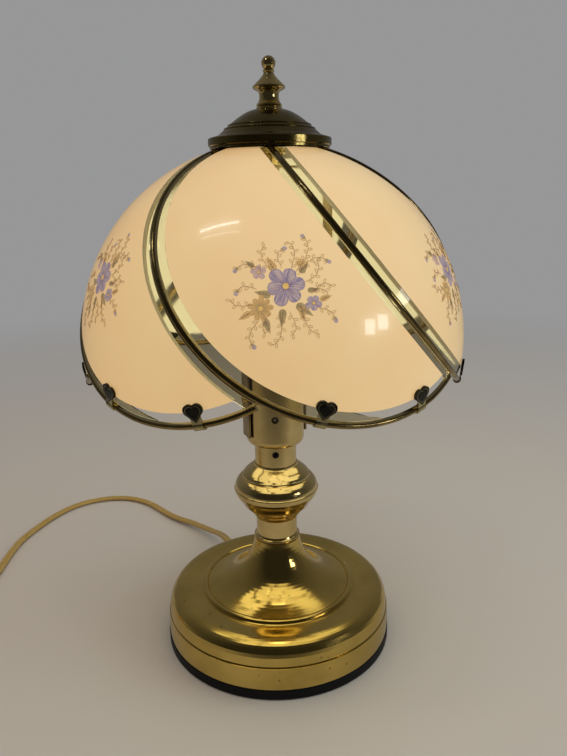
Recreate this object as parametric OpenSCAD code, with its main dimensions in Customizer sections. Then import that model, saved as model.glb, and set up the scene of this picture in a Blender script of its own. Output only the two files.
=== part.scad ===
// Touch lamp: a brass base and post carry a six-petal glass shade on a strap harp.
// Sizes are millimetres. The origin is the centre of the underside, +Z is up and the front faces -Y.

/* [Base] */
// Radius of the black bottom cover
cover_r = 71; // [66:0.5:80]
// Height of the bottom cover's rim
cover_h = 6.6; // [6:0.1:8]
// Thickness of the bottom cover's floor and rim
cover_wall = 2.4; // [2:0.1:2.6]
// Thickness of the felt pad under the cover
felt_t = 1.2; // [1:0.1:1.6]
// How far the base shell's side band stands in from the cover's edge
shell_step = 0.4; // [0.2:0.1:1.2]
// Thickness of the spun brass sheet of the base, knob and cup
sheet_t = 1; // [0.8:0.1:1.2]
// Height of the base shell's side band
band_h = 13.2; // [11:0.2:16]
// Height of the flat between the shoulder and the step ring, above the cover
flat_h = 26; // [24:0.5:29]
// Radius of the raised step ring on the base shell
step_r = 46; // [42:0.5:50]
// Height of the whole base shell above the cover
shell_h = 58.4; // [52:0.2:66]
// Radius of the neck at the top of the base shell
neck_r = 14; // [13.6:0.1:16]
// Radius of the iron weight
weight_r = 60; // [52:1:62]
// Thickness of the iron weight
weight_t = 9; // [6:0.5:9.5]

/* [Touch module] */
// Length of the control module's case
module_l = 40; // [34:1:44]
// Width of the control module's case
module_w = 28; // [22:1:32]
// Height of the control module's case
module_h = 15; // [12:0.5:16]

/* [Post] */
// Outer radius of the threaded lamp pipe
pipe_r = 4.9; // [4.7:0.1:5.2]
// Bore radius of the lamp pipe
pipe_bore = 3.2; // [2.8:0.1:3.4]
// Width across the flats of the pipe's nuts
nut_flats = 14.3; // [13:0.1:16]
// Thickness of the pipe's nuts
nut_t = 4; // [3.4:0.1:4]
// Height of the check ring on the neck
check_h = 3.6; // [3:0.1:5]
// Outer radius of the neck tube and upper tube
tube_r = 12.7; // [12.2:0.1:13.2]
// Height of the neck tube below the knob
neck_h = 11.3; // [8:0.1:16]
// Largest radius of the knob
knob_r = 26; // [23:0.5:30]
// Height of the knob's lower half
knob_low_h = 18.6; // [15:0.2:23]
// Height of the knob's upper half
knob_top_h = 16.9; // [14:0.1:20]
// Height of the upper tube
tube_h = 12.9; // [10:0.1:20]
// Radius of the set screws in the upper tube and the cup
set_screw_r = 2; // [1.5:0.1:2.5]

/* [Socket and bulb] */
// Outer radius of the socket cup
cup_r = 17.5; // [17:0.1:19]
// Height of the socket cup
cup_h = 50; // [46:0.5:56]
// Rounding of the cup's lower edge
cup_round = 4.5; // [3:0.1:5]
// Inner radius of the screw shell
screw_shell_r = 13.2; // [13.2:0.05:13.6]
// Height of the screw shell
screw_shell_h = 25; // [22:0.5:27]
// Largest radius of the glass bulb
bulb_r = 24; // [22:0.5:30]
// Length of the bulb above its brass cap
bulb_h = 64; // [58:1:70]

/* [Harp] */
// Width of the harp's brass strap
harp_w = 9.8; // [8:0.2:12]
// Thickness of the harp's brass strap
harp_t = 1.2; // [1:0.1:1.6]
// Half of the harp's width at the bulb
harp_half = 36; // [34:0.5:42]
// Height of the harp's top above the cup's lower edge
harp_h = 161.2; // [156:0.2:170]
// Turn of the harp about the post
harp_turn = 23; // [0:1:60]
// Height of the collar under the shade on the harp's stud
collar_h = 7.4; // [6:0.1:9]
// Radius of the threaded stud above the harp
stud_r = 3.1; // [2.6:0.1:3.4]

/* [Shade] */
// Outer radius of the shade's glass
glass_r = 108; // [104:0.5:112]
// Thickness of the glass
glass_t = 3; // [2.5:0.1:3.4]
// Number of glass petals
petals = 6; // [6:1:6]
// Angular radius of a petal's round edge, seen from the centre of the shade
petal_spread = 51.6; // [51.2:0.1:52.4]
// Tilt of a petal's axis above the horizontal
petal_tilt = 39.3; // [38.8:0.1:40]
// Width of the bevelled clear border of each petal
bevel_w = 5; // [4:0.5:8]
// Depth of the bevel at the glass edge
bevel_d = 1.1; // [0.6:0.1:1.6]
// Radius of the brass wire that frames each petal
wire_r = 1.5; // [1.2:0.05:2.2]
// Radius of the round plate that joins the wires under the cap
ring_r = 28; // [24:0.5:30]
// Outer radius of the cap's brim
cap_r = 33.6; // [32.6:0.1:36]
// Height of the cap's brim, its hem included
brim_h = 5.5; // [4.5:0.1:7]
// Height of the narrower hem that stands on the wires, under the brim's band
hem_h = 1.2; // [0.8:0.1:1.6]
// How far the hem stands in from the band
hem_in = 0.9; // [0.5:0.1:1.2]
// Height of the cap's dome above its brim
dome_h = 14.7; // [12:0.1:18]
// Radius of the finial's foot
finial_r = 7; // [6.4:0.1:7.6]
// Height of the finial
finial_h = 26.8; // [25.5:0.1:34]

/* [Heart clips] */
// Width of a heart
heart_w = 9.4; // [8:0.1:11]
// Thickness of a clip's sheet metal
clip_t = 0.7; // [0.6:0.05:0.9]
// Width of a clip's strap round the wire
strap_w = 5.4; // [4:0.1:7]
// Angle of each clip to the side of a petal's lowest point
clip_turn = 19.2; // [14:0.2:26]
// How far each pair of clips sits round its petal from the lowest point
clip_shift = -1.8; // [-4:0.2:4]

/* [Cord] */
// Width of the flat twin cord
cord_w = 5.6; // [5:0.1:6]
// Thickness of the flat twin cord
cord_t = 2.8; // [2.6:0.1:3]
// Length of the strain relief outside the base
relief_l = 24; // [20:1:40]

/* [Hidden] */
$fn = 48;

// Clearances
pipe_gap = 0.2;
seat_gap = 0.1;
turn_gap = 0.08;
fit_gap = 0.15;
glass_gap = 0.3;

// Colours
brass = [0.80, 0.62, 0.25];
satin_brass = [0.72, 0.56, 0.24];
black_plastic = [0.05, 0.05, 0.05];
steel = [0.62, 0.62, 0.64];
cream = [0.96, 0.90, 0.74];
amber = [0.62, 0.42, 0.10];

// Radius of the base shell's side band
shell_r = cover_r - shell_step;

// Levels up the lamp, each from the piece below it
floor_z = felt_t + cover_wall;
weight_z = floor_z + seat_gap;
module_z = weight_z + weight_t + seat_gap;
neck_z = cover_h + shell_h;
check_z = neck_z;
neck_tube_z = check_z + check_h;
knob_z = neck_tube_z + neck_h;
seam_z = knob_z + knob_low_h;
tube_z = seam_z + knob_top_h;
cup_z = tube_z + tube_h;
bore_r = pipe_r + pipe_gap;
spigot_r = tube_r - 1.4;
spigot_h = 1.5;
tube_wall = 1.2;

// Well in the bottom cover, round the lowest nut
well_r = 12;
well_z = felt_t + 5.8;
washer_t = 1.2;
pipe_low = felt_t + 0.4;

// Socket levels
washer_z = cup_z + sheet_t;
top_nut_z = washer_z + washer_t;
socket_z = top_nut_z + nut_t + seat_gap;
socket_base_h = 16;
contact_z = socket_z + socket_base_h;
shell_floor = 0.6;
contact_t = 2.2;
screw_shell_t = 0.5;
bulb_z = contact_z + contact_t + seat_gap;
bulb_cap_r = screw_shell_r - 0.3;
bulb_tip_h = 1.5;
vitrite_h = 2.4;
bulb_cap_h = 21;
bulb_neck_z = bulb_z + bulb_tip_h + vitrite_h + bulb_cap_h;
pipe_top = socket_z + 3;

// Harp and shade levels
harp_top = cup_z + harp_h;
leg_in = cup_r + fit_gap;
leg_low = cup_z + 6.3;
leg_high = cup_z + cup_h + 3;
collar_z = harp_top + seat_gap;
plate_z = collar_z + collar_h;
plate_t = 1.2;
wire_path_r = glass_r - 0.7;
shade_z = plate_z + plate_t / 2 - sqrt(wire_path_r ^ 2 - ring_r ^ 2);
cap_t = 0.8;
brim_z = shade_z + sqrt((wire_path_r + wire_r) ^ 2 - (cap_r - hem_in - cap_t) ^ 2) + seat_gap;
cap_top = brim_z + brim_h + dome_h;
glass_top_r = ring_r + 3;
stud_hole = stud_r + 0.5;
stud_top = cap_top + 8.5;
finial_bore = 9.5;

// First petal faces the front, a little to the right
petal_step = 360 / petals;
first_petal = -62.5;
edge_angle = (wire_r + glass_gap) / wire_path_r * 180 / PI;
bevel_angle = bevel_w / glass_r * 180 / PI;
wire_ring_r = wire_path_r * sin(petal_spread);
wire_ring_z = wire_path_r * cos(petal_spread);
// Angle between two neighbouring petals' axes, and where the next axis lies round a petal's own axis
axis_angle = acos(cos(petal_tilt) ^ 2 * cos(petal_step) + sin(petal_tilt) ^ 2);
next_turn = atan2(sin(petal_step), sin(petal_tilt) * (cos(petal_step) - 1));
// A wire's turn where it stops short of the next wire, and where it meets the plate under the cap
wire_stop = next_turn - acos((wire_ring_z * (1 - cos(axis_angle)) - wire_r * 1.76 - 0.06)
    / (wire_ring_r * sin(axis_angle)));
plate_meet = acos((wire_ring_z * sin(petal_tilt) - sqrt(wire_path_r ^ 2 - (ring_r + 0.2) ^ 2))
    / (wire_ring_r * cos(petal_tilt)));

// Side holes
tube_hole_z = tube_z + tube_h - 4.2;
cup_hole_z = cup_z + 19.3;
harp_screw_r = 1.5;
harp_screw_z = cup_z + 30;
relief_turn = 114;
relief_z = 13.4;
relief_r = 5.1;

// Free cord: chosen points on the table, from the strain relief to the coil
coil_low = 2;
cord_route = [[-42.5, 96, 12.4], [-47.5, 107, 9.4], [-55.5, 118, 6.6], [-65, 129.5, 4.6],
    [-74.5, 139, 3.5], [-84, 146.5, 2.6], [-94.5, 156.5, 2], [-105, 168.5, 1.7], [-115.5, 180, 1.6],
    [-126.5, 188, 1.6], [-137, 192.5, 1.6], [-147, 194, 1.6], [-156.5, 193.5, 1.6], [-165.5, 191, 1.6],
    [-174, 187, 1.6], [-181.5, 181.5, 1.6], [-188.5, 174, 1.6], [-194.5, 164.5, 1.6], [-200, 153, 1.6],
    [-204.5, 141, 1.6], [-208.5, 128.5, 1.6], [-211.5, 115, 1.6], [-212.5, 101, 1.6], [-212.5, 87, 1.6],
    [-212, 73, 1.6], [-212, 59, 1.7], [-212, 46, 1.8], [-212, 34, 1.9], [-212, 26, 2], [-212, 20, 2]];
// Coil: two layers of turns, wound inwards below and outwards above
coil_x = -256;
coil_y = 14;
coil_out = 44;
coil_pitch = 6.5;
coil_turns = 6.5;
coil_rise = 3.5;
coil_dip = 1.25;
coil_steps = 24;
coil_lead = 6;
coil_tail = 15.5;
// Plug
plug_l = 24;
plug_w = 20;
plug_h = 9.4;
plug_taper = 14;
blade_l = 16.5;
blade_w = 6.3;
blade_t = 1.5;
blade_gap = 12.7;

// Point on a cubic curve through two ends with two pull points
function curve_at(a, b, c, d, t) =
    (1 - t) ^ 3 * a + 3 * (1 - t) ^ 2 * t * b + 3 * (1 - t) * t ^ 2 * c + t ^ 3 * d;
// Points of a cubic curve, both ends included
function curve(a, b, c, d, n) = [for (i = [0:n]) curve_at(a, b, c, d, i / n)];
// Points of an arc about a centre, from one angle to another
function arc(cx, cy, r, from, to, n) =
    [for (i = [0:n]) let (w = from + (to - from) * i / n) [cx + r * cos(w), cy + r * sin(w)]];
function unit(v) = v / norm(v);
function reversed(list) = [for (i = [len(list) - 1:-1:0]) list[i]];
// A line of points moved sideways by a distance, to the left of its direction
function beside(line, away) =
    [for (i = [0:len(line) - 1])
        let (last = len(line) - 1,
            a = unit(line[min(i + 1, last)] - line[i == last ? last - 1 : i]),
            b = i == 0 ? a : unit(line[i] - line[i - 1]),
            m = unit([-a.y - b.y, a.x + b.x]))
        line[i] + m * away / max(0.5, m * [-a.y, a.x])];

// A line of points spun about the post as a sheet of one thickness, inside the line
module spun_sheet(line, thick) {
    rotate_extrude($fn = 96) polygon(concat(line, reversed(beside(line, thick))));
}

// Flat ring about the post
module washer(outer, inner, z, t) {
    translate([0, 0, z]) difference() {
        cylinder(r = outer, h = t);
        translate([0, 0, -1]) cylinder(r = inner, h = t + 2);
    }
}

// Hexagonal nut about the post
module hex_nut(z, t) {
    translate([0, 0, z]) difference() {
        cylinder(r = nut_flats / sqrt(3), h = t, $fn = 6);
        translate([0, 0, -1]) cylinder(r = pipe_r + turn_gap, h = t + 2);
    }
}

// Tube swept along points, its section lying flat
function flat_frame(path, i) =
    let (last = len(path) - 1,
        along = unit(path[min(i + 1, last)] - path[max(i - 1, 0)]),
        side = unit([along.y, -along.x, 0]))
    [side, cross(side, along)];
module flat_tube(path, section) {
    n = len(section);
    rings = len(path);
    points = [for (i = [0:rings - 1]) let (f = flat_frame(path, i))
        for (s = section) path[i] + s.x * f[0] + s.y * f[1]];
    sides = [for (i = [0:rings - 2], j = [0:n - 1])
        let (a = i * n + j, b = i * n + (j + 1) % n) each [[a, b, b + n], [a, b + n, a + n]]];
    ends = [for (j = [1:n - 2]) each [[0, j + 1, j],
        [(rings - 1) * n, (rings - 1) * n + j, (rings - 1) * n + j + 1]]];
    polyhedron(points, concat(sides, ends));
}
// Round section for a wire
function round_section(r, n) = [for (i = [0:n - 1]) r * [cos(i * 360 / n), sin(i * 360 / n)]];

// Black bottom cover: a rim, a floor and a well for the lowest nut
module bottom_cover() color(black_plastic) {
    rim_in = cover_r - cover_wall;
    lip_r = shell_r - sheet_t - fit_gap;
    lip_z = cover_h + 0.8;
    rotate_extrude($fn = 96) polygon([[bore_r, well_z], [well_r, well_z], [well_r, felt_t],
        [rim_in, felt_t],
        [rim_in, 0], [cover_r - 0.6, 0], [cover_r, 0.6], [cover_r, cover_h - 0.8], [cover_r - 0.8, cover_h],
        [lip_r, cover_h], [lip_r, lip_z], [lip_r - cover_wall, lip_z],
        [lip_r - cover_wall, floor_z], [well_r + cover_wall, floor_z],
        [well_r + cover_wall, well_z + cover_wall], [bore_r, well_z + cover_wall]]);
}

module felt_pad() color([0.10, 0.12, 0.10])
    cylinder(r = cover_r - cover_wall - fit_gap, h = felt_t - seat_gap, $fn = 96);

module base_weight() color([0.25, 0.25, 0.26])
    washer(weight_r, well_r + cover_wall + 0.8, weight_z, weight_t);

module bottom_washer() color(steel) washer(9.5, bore_r, well_z - washer_t, washer_t);

module bottom_nut() color(steel) hex_nut(well_z - washer_t - nut_t, nut_t);

// Outer line of the base shell, from its lower edge up to the neck
function shell_line(detail) =
    let (z0 = cover_h, zb = z0 + band_h, zf = z0 + flat_h, rs = shell_r - 0.9)
    concat([[shell_r, z0], [shell_r + 0.1, z0 + band_h * 0.4], [shell_r - 0.4, zb]],
        detail ? [[shell_r - 1.2, zb + 0.25], [shell_r - 1.2, zb + 0.7]] : [],
        curve([rs, zb + 1.1], [rs - 0.6, zf + 5.8], [step_r + 10.5, zf - 1.2], [step_r + 2.8, zf], 18),
        detail ? arc(step_r + 0.7, zf + 0.9, 1.7, -20, 160, 8) : [],
        curve([step_r - 1.2, zf + 1.9], [step_r * 0.6, zf + 4.9], [neck_r + 3.5, zf + 15.6],
            [neck_r, neck_z], 20));
module base_shell() color(satin_brass) difference() {
    outer = shell_line(true);
    inner = beside(shell_line(false), sheet_t);
    top = len(inner) - 1;
    rotate_extrude($fn = 96) polygon(concat(outer, [[bore_r, neck_z], [bore_r, neck_z - sheet_t],
        [inner[top].x, neck_z - sheet_t]], reversed([for (i = [0:top - 1]) inner[i]])));
    rotate(relief_turn) translate([0, 0, relief_z]) rotate([0, 90, 0])
        cylinder(r = relief_r + fit_gap, h = shell_r + 5);
}

module neck_nut() color(steel) hex_nut(neck_z - sheet_t - washer_t - nut_t - 2 * seat_gap, nut_t);

// Ring terminal of the touch wire, clamped under the neck
lug_z = neck_z - sheet_t - washer_t - seat_gap;
module touch_lug() color(steel) {
    washer(8.4, bore_r, lug_z, washer_t);
    translate([7.6, -1.6, lug_z]) cube([5, 3.2, washer_t]);
}

module touch_lead() color([0.1, 0.3, 0.1])
    flat_tube([[12.1, 0, lug_z - 0.8], [12.6, 0, lug_z - 4], [14, 2, lug_z - 14], [16.5, 6.5, lug_z - 24],
        [20, 9.4, module_z + module_h + 5], [24, 10.5, module_z + module_h + 2],
        [24.3, 10.5, module_z + module_h + 0.3]], round_section(0.8, 8));

// Control module: a potted case on the weight, with a raised lid
module_x = 20;
module control_module() color([0.12, 0.12, 0.14]) translate([module_x, -module_w / 2, module_z]) {
    linear_extrude(module_h) {
        for (x = [2, module_l - 2], y = [2, module_w - 2]) translate([x, y]) circle(r = 2);
        translate([2, 0]) square([module_l - 4, module_w]);
        translate([0, 2]) square([module_l, module_w - 4]);
    }
}

// Two wires from the cord's end to the wire nuts, and two from there to the module
nut_x = [-28, -16];
nut_y = 34;
nut_z = module_z + 4.4;
module supply_leads() color([0.62, 0.45, 0.12]) {
    start = (relief_in - 1.8) * [cos(relief_turn), sin(relief_turn)];
    for (i = [0, 1]) {
        s = i == 0 ? -1.3 : 1.3;
        flat_tube([[start.x + s, start.y + s * 0.4, relief_z],
            [start.x + s + 1.6, start.y + s * 0.4 - 4, relief_z + 0.3],
            [nut_x[i] - 1.1 - s * 0.6, nut_y + 14, nut_z - 1], [nut_x[i] - 1.1, nut_y + 5, nut_z],
            [nut_x[i] - 1.1, nut_y + 0.4, nut_z]], round_section(0.9, 8));
    }
}
module module_leads() color([0.08, 0.08, 0.08]) {
    end = [module_x - 0.2, module_w / 2 - 5];
    flat_tube([[nut_x[1] + 1.1, nut_y + 0.4, nut_z], [nut_x[1] + 1.4, nut_y + 4, nut_z + 0.4],
        [-11, nut_y + 6.6, nut_z + 1], [-4, nut_y + 4, nut_z + 1], [8, 26, nut_z + 1],
        [end.x - 5, end.y + 2, nut_z + 1],
        [end.x - 2, end.y, nut_z + 1], [end.x, end.y, nut_z + 1]], round_section(0.9, 8));
    flat_tube([[nut_x[0] + 1.1, nut_y + 0.4, nut_z], [nut_x[0] + 1.6, nut_y + 4, nut_z + 1.4],
        [-22, nut_y + 9.6, nut_z + 3], [-10, nut_y + 10, nut_z + 3.6], [4, nut_y, nut_z + 3.6],
        [12, 22, nut_z + 3.6],
        [end.x - 3, end.y + 4, nut_z + 3.4], [end.x, end.y + 3, nut_z + 3.2]], round_section(0.9, 8));
}

// Two wires from the module, into the pipe and up to the socket
pipe_window_z = neck_z - shell_h * 0.445;
module socket_leads() color([0.85, 0.85, 0.82])
    for (s = [-1, 1])
        flat_tube([[module_x + 5, s * 5, module_z + module_h + 0.2],
            [module_x + 4, s * 4.6, module_z + module_h + 3],
            [module_x - 3, s * 3, pipe_window_z - 3], [8, s * 1.3, pipe_window_z],
            [3.4, s * 1.2, pipe_window_z + 1.4],
            [1.4, s * 1.3, pipe_window_z + 4.6], [1, s * 1.3, pipe_window_z + 10], [0.8, s * 1.3,
            cup_z - 20],
            [0.6, s * 1.3, pipe_top - 2], [0, s * 3, pipe_top + 3], [0, s * 3.6, contact_z - 4.2]],
            round_section(0.8, 8));

// Two wire nuts that join the leads beside the module
module wire_nuts() color([0.85, 0.35, 0.08])
    for (x = nut_x) translate([x, nut_y, nut_z]) rotate([90, 0, 0])
        rotate_extrude() polygon([[0, 0], [4.2, 0], [4.2, 4], [2.6, 14], [0, 15.5]]);

// Threaded pipe that clamps the whole post, with a window for the wires
module lamp_pipe() color(steel) difference() {
    translate([0, 0, pipe_low]) cylinder(r = pipe_r, h = pipe_top - pipe_low);
    translate([0, 0, pipe_low - 1]) cylinder(r = pipe_bore, h = pipe_top - pipe_low + 2);
    translate([0, 0, pipe_window_z + 0.8]) rotate([0, 90, 0]) cylinder(r = 3.2, h = pipe_r + 2);
}

// Bead on the neck, with a spigot that centres the neck tube
module check_ring() color(brass) translate([0, 0, check_z])
    rotate_extrude($fn = 96) polygon(concat([[bore_r, 0], [neck_r - 0.5, 0]],
        arc(neck_r - 0.9, check_h * 0.42, check_h * 0.36, -80, 80, 8),
        [[tube_r + 0.5, check_h * 0.84], [tube_r + 0.2, check_h], [spigot_r, check_h],
        [spigot_r, check_h + spigot_h], [bore_r, check_h + spigot_h]]));

module plain_tube(z, h) translate([0, 0, z]) difference() {
    cylinder(r = tube_r, h = h, $fn = 96);
    translate([0, 0, -1]) cylinder(r = tube_r - tube_wall, h = h + 2, $fn = 96);
}
module neck_tube() color(brass) plain_tube(neck_tube_z, neck_h);

// Lower half of the knob: a stepped bowl with a rim that nests in the upper half
knob_low_line = let (z = seam_z - knob_low_h, h = knob_low_h, r = knob_r, w = knob_r - tube_r)
    [[tube_r + 0.7, z], [tube_r + 1.3, z + h * 0.06], [tube_r + w * 0.24, z + h * 0.2],
    [tube_r + w * 0.40, z + h * 0.33], [tube_r + w * 0.50, z + h * 0.42], [tube_r + w * 0.56, z + h * 0.44],
    [tube_r + w * 0.60, z + h * 0.49], [r - 3.9, z + h * 0.64], [r - 3.2, z + h * 0.665],
    [r - 1.7, z + h * 0.78], [r - 0.8, z + h * 0.87], [r - 0.5, z + h * 0.94], [r - 0.5, z + h]];
nest_r = knob_r - sheet_t - fit_gap;
module knob_lower() color(brass) {
    inner = beside(knob_low_line, sheet_t);
    top = len(inner) - 1;
    rotate_extrude($fn = 96) polygon(concat([[bore_r, knob_z - spigot_h], [spigot_r, knob_z - spigot_h],
        [spigot_r, knob_z]], knob_low_line, [[nest_r, seam_z], [nest_r, seam_z + 0.8],
        [nest_r - 0.8, seam_z + 0.8], [nest_r - 0.8, seam_z - 0.6]],
        reversed([for (i = [2:top - 2]) inner[i]]), [[bore_r, knob_z + sheet_t + 0.2]]));
}

// Upper half of the knob: a rolled rim, a shoulder with one groove, and a flat top
knob_top_line = let (z = seam_z, h = knob_top_h, r = knob_r, w = knob_r - tube_r)
    concat([[r + 0.1, z], [r + 0.15, z + 0.5], [r, z + 1]],
        curve([r - 0.3, z + 1.3], [r - 0.4, z + h * 0.22], [r - 1.6, z + h * 0.36],
            [tube_r + w * 0.69, z + h * 0.49], 8),
        [[tube_r + w * 0.645, z + h * 0.495], [tube_r + w * 0.615, z + h * 0.53],
        [tube_r + w * 0.605, z + h * 0.57]],
        curve([tube_r + w * 0.59, z + h * 0.585], [tube_r + w * 0.46, z + h * 0.76],
            [tube_r + w * 0.2, z + h * 0.86],
            [tube_r + 0.9, z + h * 0.95], 8),
        [[tube_r + 0.8, z + h]]);
module knob_upper() color(brass) {
    inner = beside(knob_top_line, sheet_t);
    top = len(inner) - 1;
    rotate_extrude($fn = 96) polygon(concat(knob_top_line, [[spigot_r, tube_z],
        [spigot_r, tube_z + spigot_h],
        [bore_r, tube_z + spigot_h], [bore_r, tube_z - sheet_t]],
        [[inner[top - 1].x - 0.6, tube_z - sheet_t]],
        reversed([for (i = [4:top - 2]) inner[i]]), [[knob_r - sheet_t, seam_z + 1],
            [knob_r - sheet_t, seam_z]]));
}

module upper_tube() color(brass) difference() {
    plain_tube(tube_z, tube_h);
    translate([0, 0, tube_hole_z]) rotate([90, 0, 0]) cylinder(r = set_screw_r + turn_gap, h = tube_r + 5);
}

// Headless set screw that points at the post from the front
module set_screw(z, r_in, r_out) translate([0, -r_in, z]) rotate([90, 0, 0]) difference() {
    cylinder(r = set_screw_r, h = r_out - r_in);
    translate([0, 0, r_out - r_in - 1.6]) cylinder(r = set_screw_r * 0.55, h = 3, $fn = 6);
}
module tube_screw() color([0.08, 0.08, 0.08]) set_screw(tube_hole_z, pipe_r + 0.05, tube_r - 0.3);

// Socket cup: a spun cup with a rounded lower edge, clamped on the pipe
module socket_cup() color(brass) difference() {
    rotate_extrude($fn = 96) polygon(concat([[bore_r, cup_z - spigot_h], [spigot_r, cup_z - spigot_h],
        [spigot_r, cup_z]],
        arc(cup_r - cup_round, cup_z + cup_round, cup_round, -90, 0, 8),
        [[cup_r, cup_z + cup_h - 0.4], [cup_r - 0.4, cup_z + cup_h], [cup_r - sheet_t, cup_z + cup_h]],
        arc(cup_r - cup_round, cup_z + cup_round, cup_round - sheet_t, 0, -90, 8), [[bore_r,
            cup_z + sheet_t]]));
    translate([0, 0, cup_hole_z]) rotate([90, 0, 0]) cylinder(r = set_screw_r + turn_gap, h = cup_r + 5);
    rotate(harp_turn) translate([-cup_r - 5, 0, harp_screw_z]) rotate([0, 90, 0])
        cylinder(r = harp_screw_r + turn_gap, h = 2 * cup_r + 10);
}
module cup_screw() color([0.08, 0.08, 0.08]) set_screw(cup_hole_z, liner_r + fit_gap, cup_r - 0.3);

module lock_washer() color(steel) washer(8.6, bore_r, washer_z, washer_t);
module top_nut() color(steel) hex_nut(top_nut_z, nut_t);

// Ceramic base of the socket, bored from below for the pipe and the wires
socket_r = cup_r - sheet_t - 2;
module socket_base() color([0.93, 0.91, 0.86]) translate([0, 0, socket_z]) difference() {
    cylinder(r = socket_r, h = socket_base_h);
    translate([0, 0, -1]) cylinder(r = bore_r, h = socket_base_h - 3);
}
module centre_contact() color(brass) translate([0, 0, contact_z]) {
    cylinder(r = 4.6, h = contact_t - 0.9);
    cylinder(r = 3, h = contact_t);
}
module screw_shell() color([0.78, 0.66, 0.36]) translate([0, 0, contact_z]) {
    rotate_extrude() polygon([[6.4, 0], [screw_shell_r + screw_shell_t, 0],
        [screw_shell_r + screw_shell_t, screw_shell_h], [screw_shell_r, screw_shell_h],
        [screw_shell_r, shell_floor], [6.4, shell_floor]]);
}
// Fibre liner between the live screw shell and the brass cup
liner_r = cup_r - sheet_t - 0.4;
module socket_liner() color([0.45, 0.33, 0.2]) translate([0, 0, socket_z + 1]) difference() {
    cylinder(r = liner_r, h = contact_z + screw_shell_h - socket_z);
    translate([0, 0, -1]) cylinder(r = max(socket_r, screw_shell_r + screw_shell_t) + seat_gap,
        h = contact_z + screw_shell_h - socket_z + 2);
    rotate(harp_turn) translate([-cup_r, 0, harp_screw_z - socket_z - 1]) rotate([0, 90, 0])
        cylinder(r = harp_screw_r + 0.6, h = 2 * cup_r);
}

// Harp: one brass strap bent up from the cup, out round the bulb and over the top
harp_mid = harp_half - harp_t / 2;
harp_corner = 17;
harp_right = concat([[leg_in + harp_t / 2, leg_low], [leg_in + harp_t / 2, leg_high]],
    curve([leg_in + harp_t / 2, leg_high + 2], [leg_in + harp_t / 2, leg_high + 12],
        [harp_mid, leg_high + 10], [harp_mid, leg_high + 23], 10),
    arc(harp_mid - harp_corner, harp_top - harp_t / 2 - harp_corner, harp_corner, 0, 90, 8));
harp_line = concat(harp_right, [for (p = reversed(harp_right)) [-p.x, p.y]]);
module harp() color(brass) rotate(harp_turn) difference() {
    translate([0, harp_w / 2, 0]) rotate([90, 0, 0]) linear_extrude(harp_w)
        polygon(concat(beside(harp_line, harp_t / 2), reversed(beside(harp_line, -harp_t / 2))));
    translate([0, 0, harp_top - harp_t - 1]) cylinder(r = stud_r + turn_gap, h = harp_t + 2);
    translate([-cup_r - 5, 0, harp_screw_z]) rotate([0, 90, 0])
        cylinder(r = harp_screw_r + turn_gap, h = 2 * cup_r + 10);
}
// Two pan-head screws that hold the harp's legs to the cup
module harp_screws() color(brass)
    for (w = [0, 180]) rotate(harp_turn + w) translate([0, 0, harp_screw_z]) rotate([0, 90, 0]) {
        translate([0, 0, leg_in + harp_t + 0.05]) difference() {
            cylinder(r1 = 3, r2 = 2.3, h = 1.6);
            translate([-3.5, -0.4, 0.9]) cube([7, 0.8, 2]);
        }
        translate([0, 0, liner_r - 0.3]) cylinder(r = harp_screw_r,
            h = leg_in + harp_t + 0.1 - liner_r + 0.3);
    }
// Swivel stud: peened under the harp, a collar for the shade, a thread for the finial
module harp_stud() color(brass) {
    translate([0, 0, harp_top - harp_t - 1.4]) cylinder(r = 5, h = 1.3);
    translate([0, 0, harp_top - harp_t - 1]) cylinder(r = stud_r, h = stud_top - harp_top + harp_t + 1);
    translate([0, 0, collar_z]) cylinder(r = 7, h = collar_h - 1);
    translate([0, 0, collar_z + collar_h - 1]) cylinder(r = 9, h = 1);
}

// Bulb, from its foot up
module bulb_contact() color(steel) translate([0, 0, bulb_z]) cylinder(r1 = 3.4, r2 = 4.6, h = bulb_tip_h);
module bulb_insulator() color([0.1, 0.1, 0.12]) translate([0, 0, bulb_z + bulb_tip_h])
    cylinder(r1 = 5, r2 = bulb_cap_r - 2.2, h = vitrite_h);
module bulb_cap() color([0.76, 0.74, 0.68]) translate([0, 0, bulb_z + bulb_tip_h + vitrite_h])
    rotate_extrude() polygon([[bulb_cap_r - 3, 0], [bulb_cap_r - 1.4, 0], [bulb_cap_r, 1.6],
        [bulb_cap_r, bulb_cap_h], [bulb_cap_r - 0.6, bulb_cap_h], [bulb_cap_r - 0.6, 1.8],
        [bulb_cap_r - 3, 1]]);
bulb_mid = bulb_neck_z + bulb_h - bulb_r;
bulb_line = concat([[bulb_cap_r - 1.3, bulb_neck_z - 3]],
    curve([bulb_cap_r - 0.75, bulb_neck_z + 0.2], [bulb_cap_r + 0.4, bulb_neck_z + 12],
        [bulb_r, bulb_mid - 20], [bulb_r, bulb_mid], 12),
    [for (w = [10:10:80]) [bulb_r * cos(w), bulb_mid + bulb_r * sin(w)]], [[0.01, bulb_mid + bulb_r]]);
module bulb_glass() color([0.97, 0.95, 0.9])
    rotate_extrude() polygon(concat(bulb_line, reversed([for (p = beside(bulb_line, 0.8)) [max(0, p.x),
        p.y]])));
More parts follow.
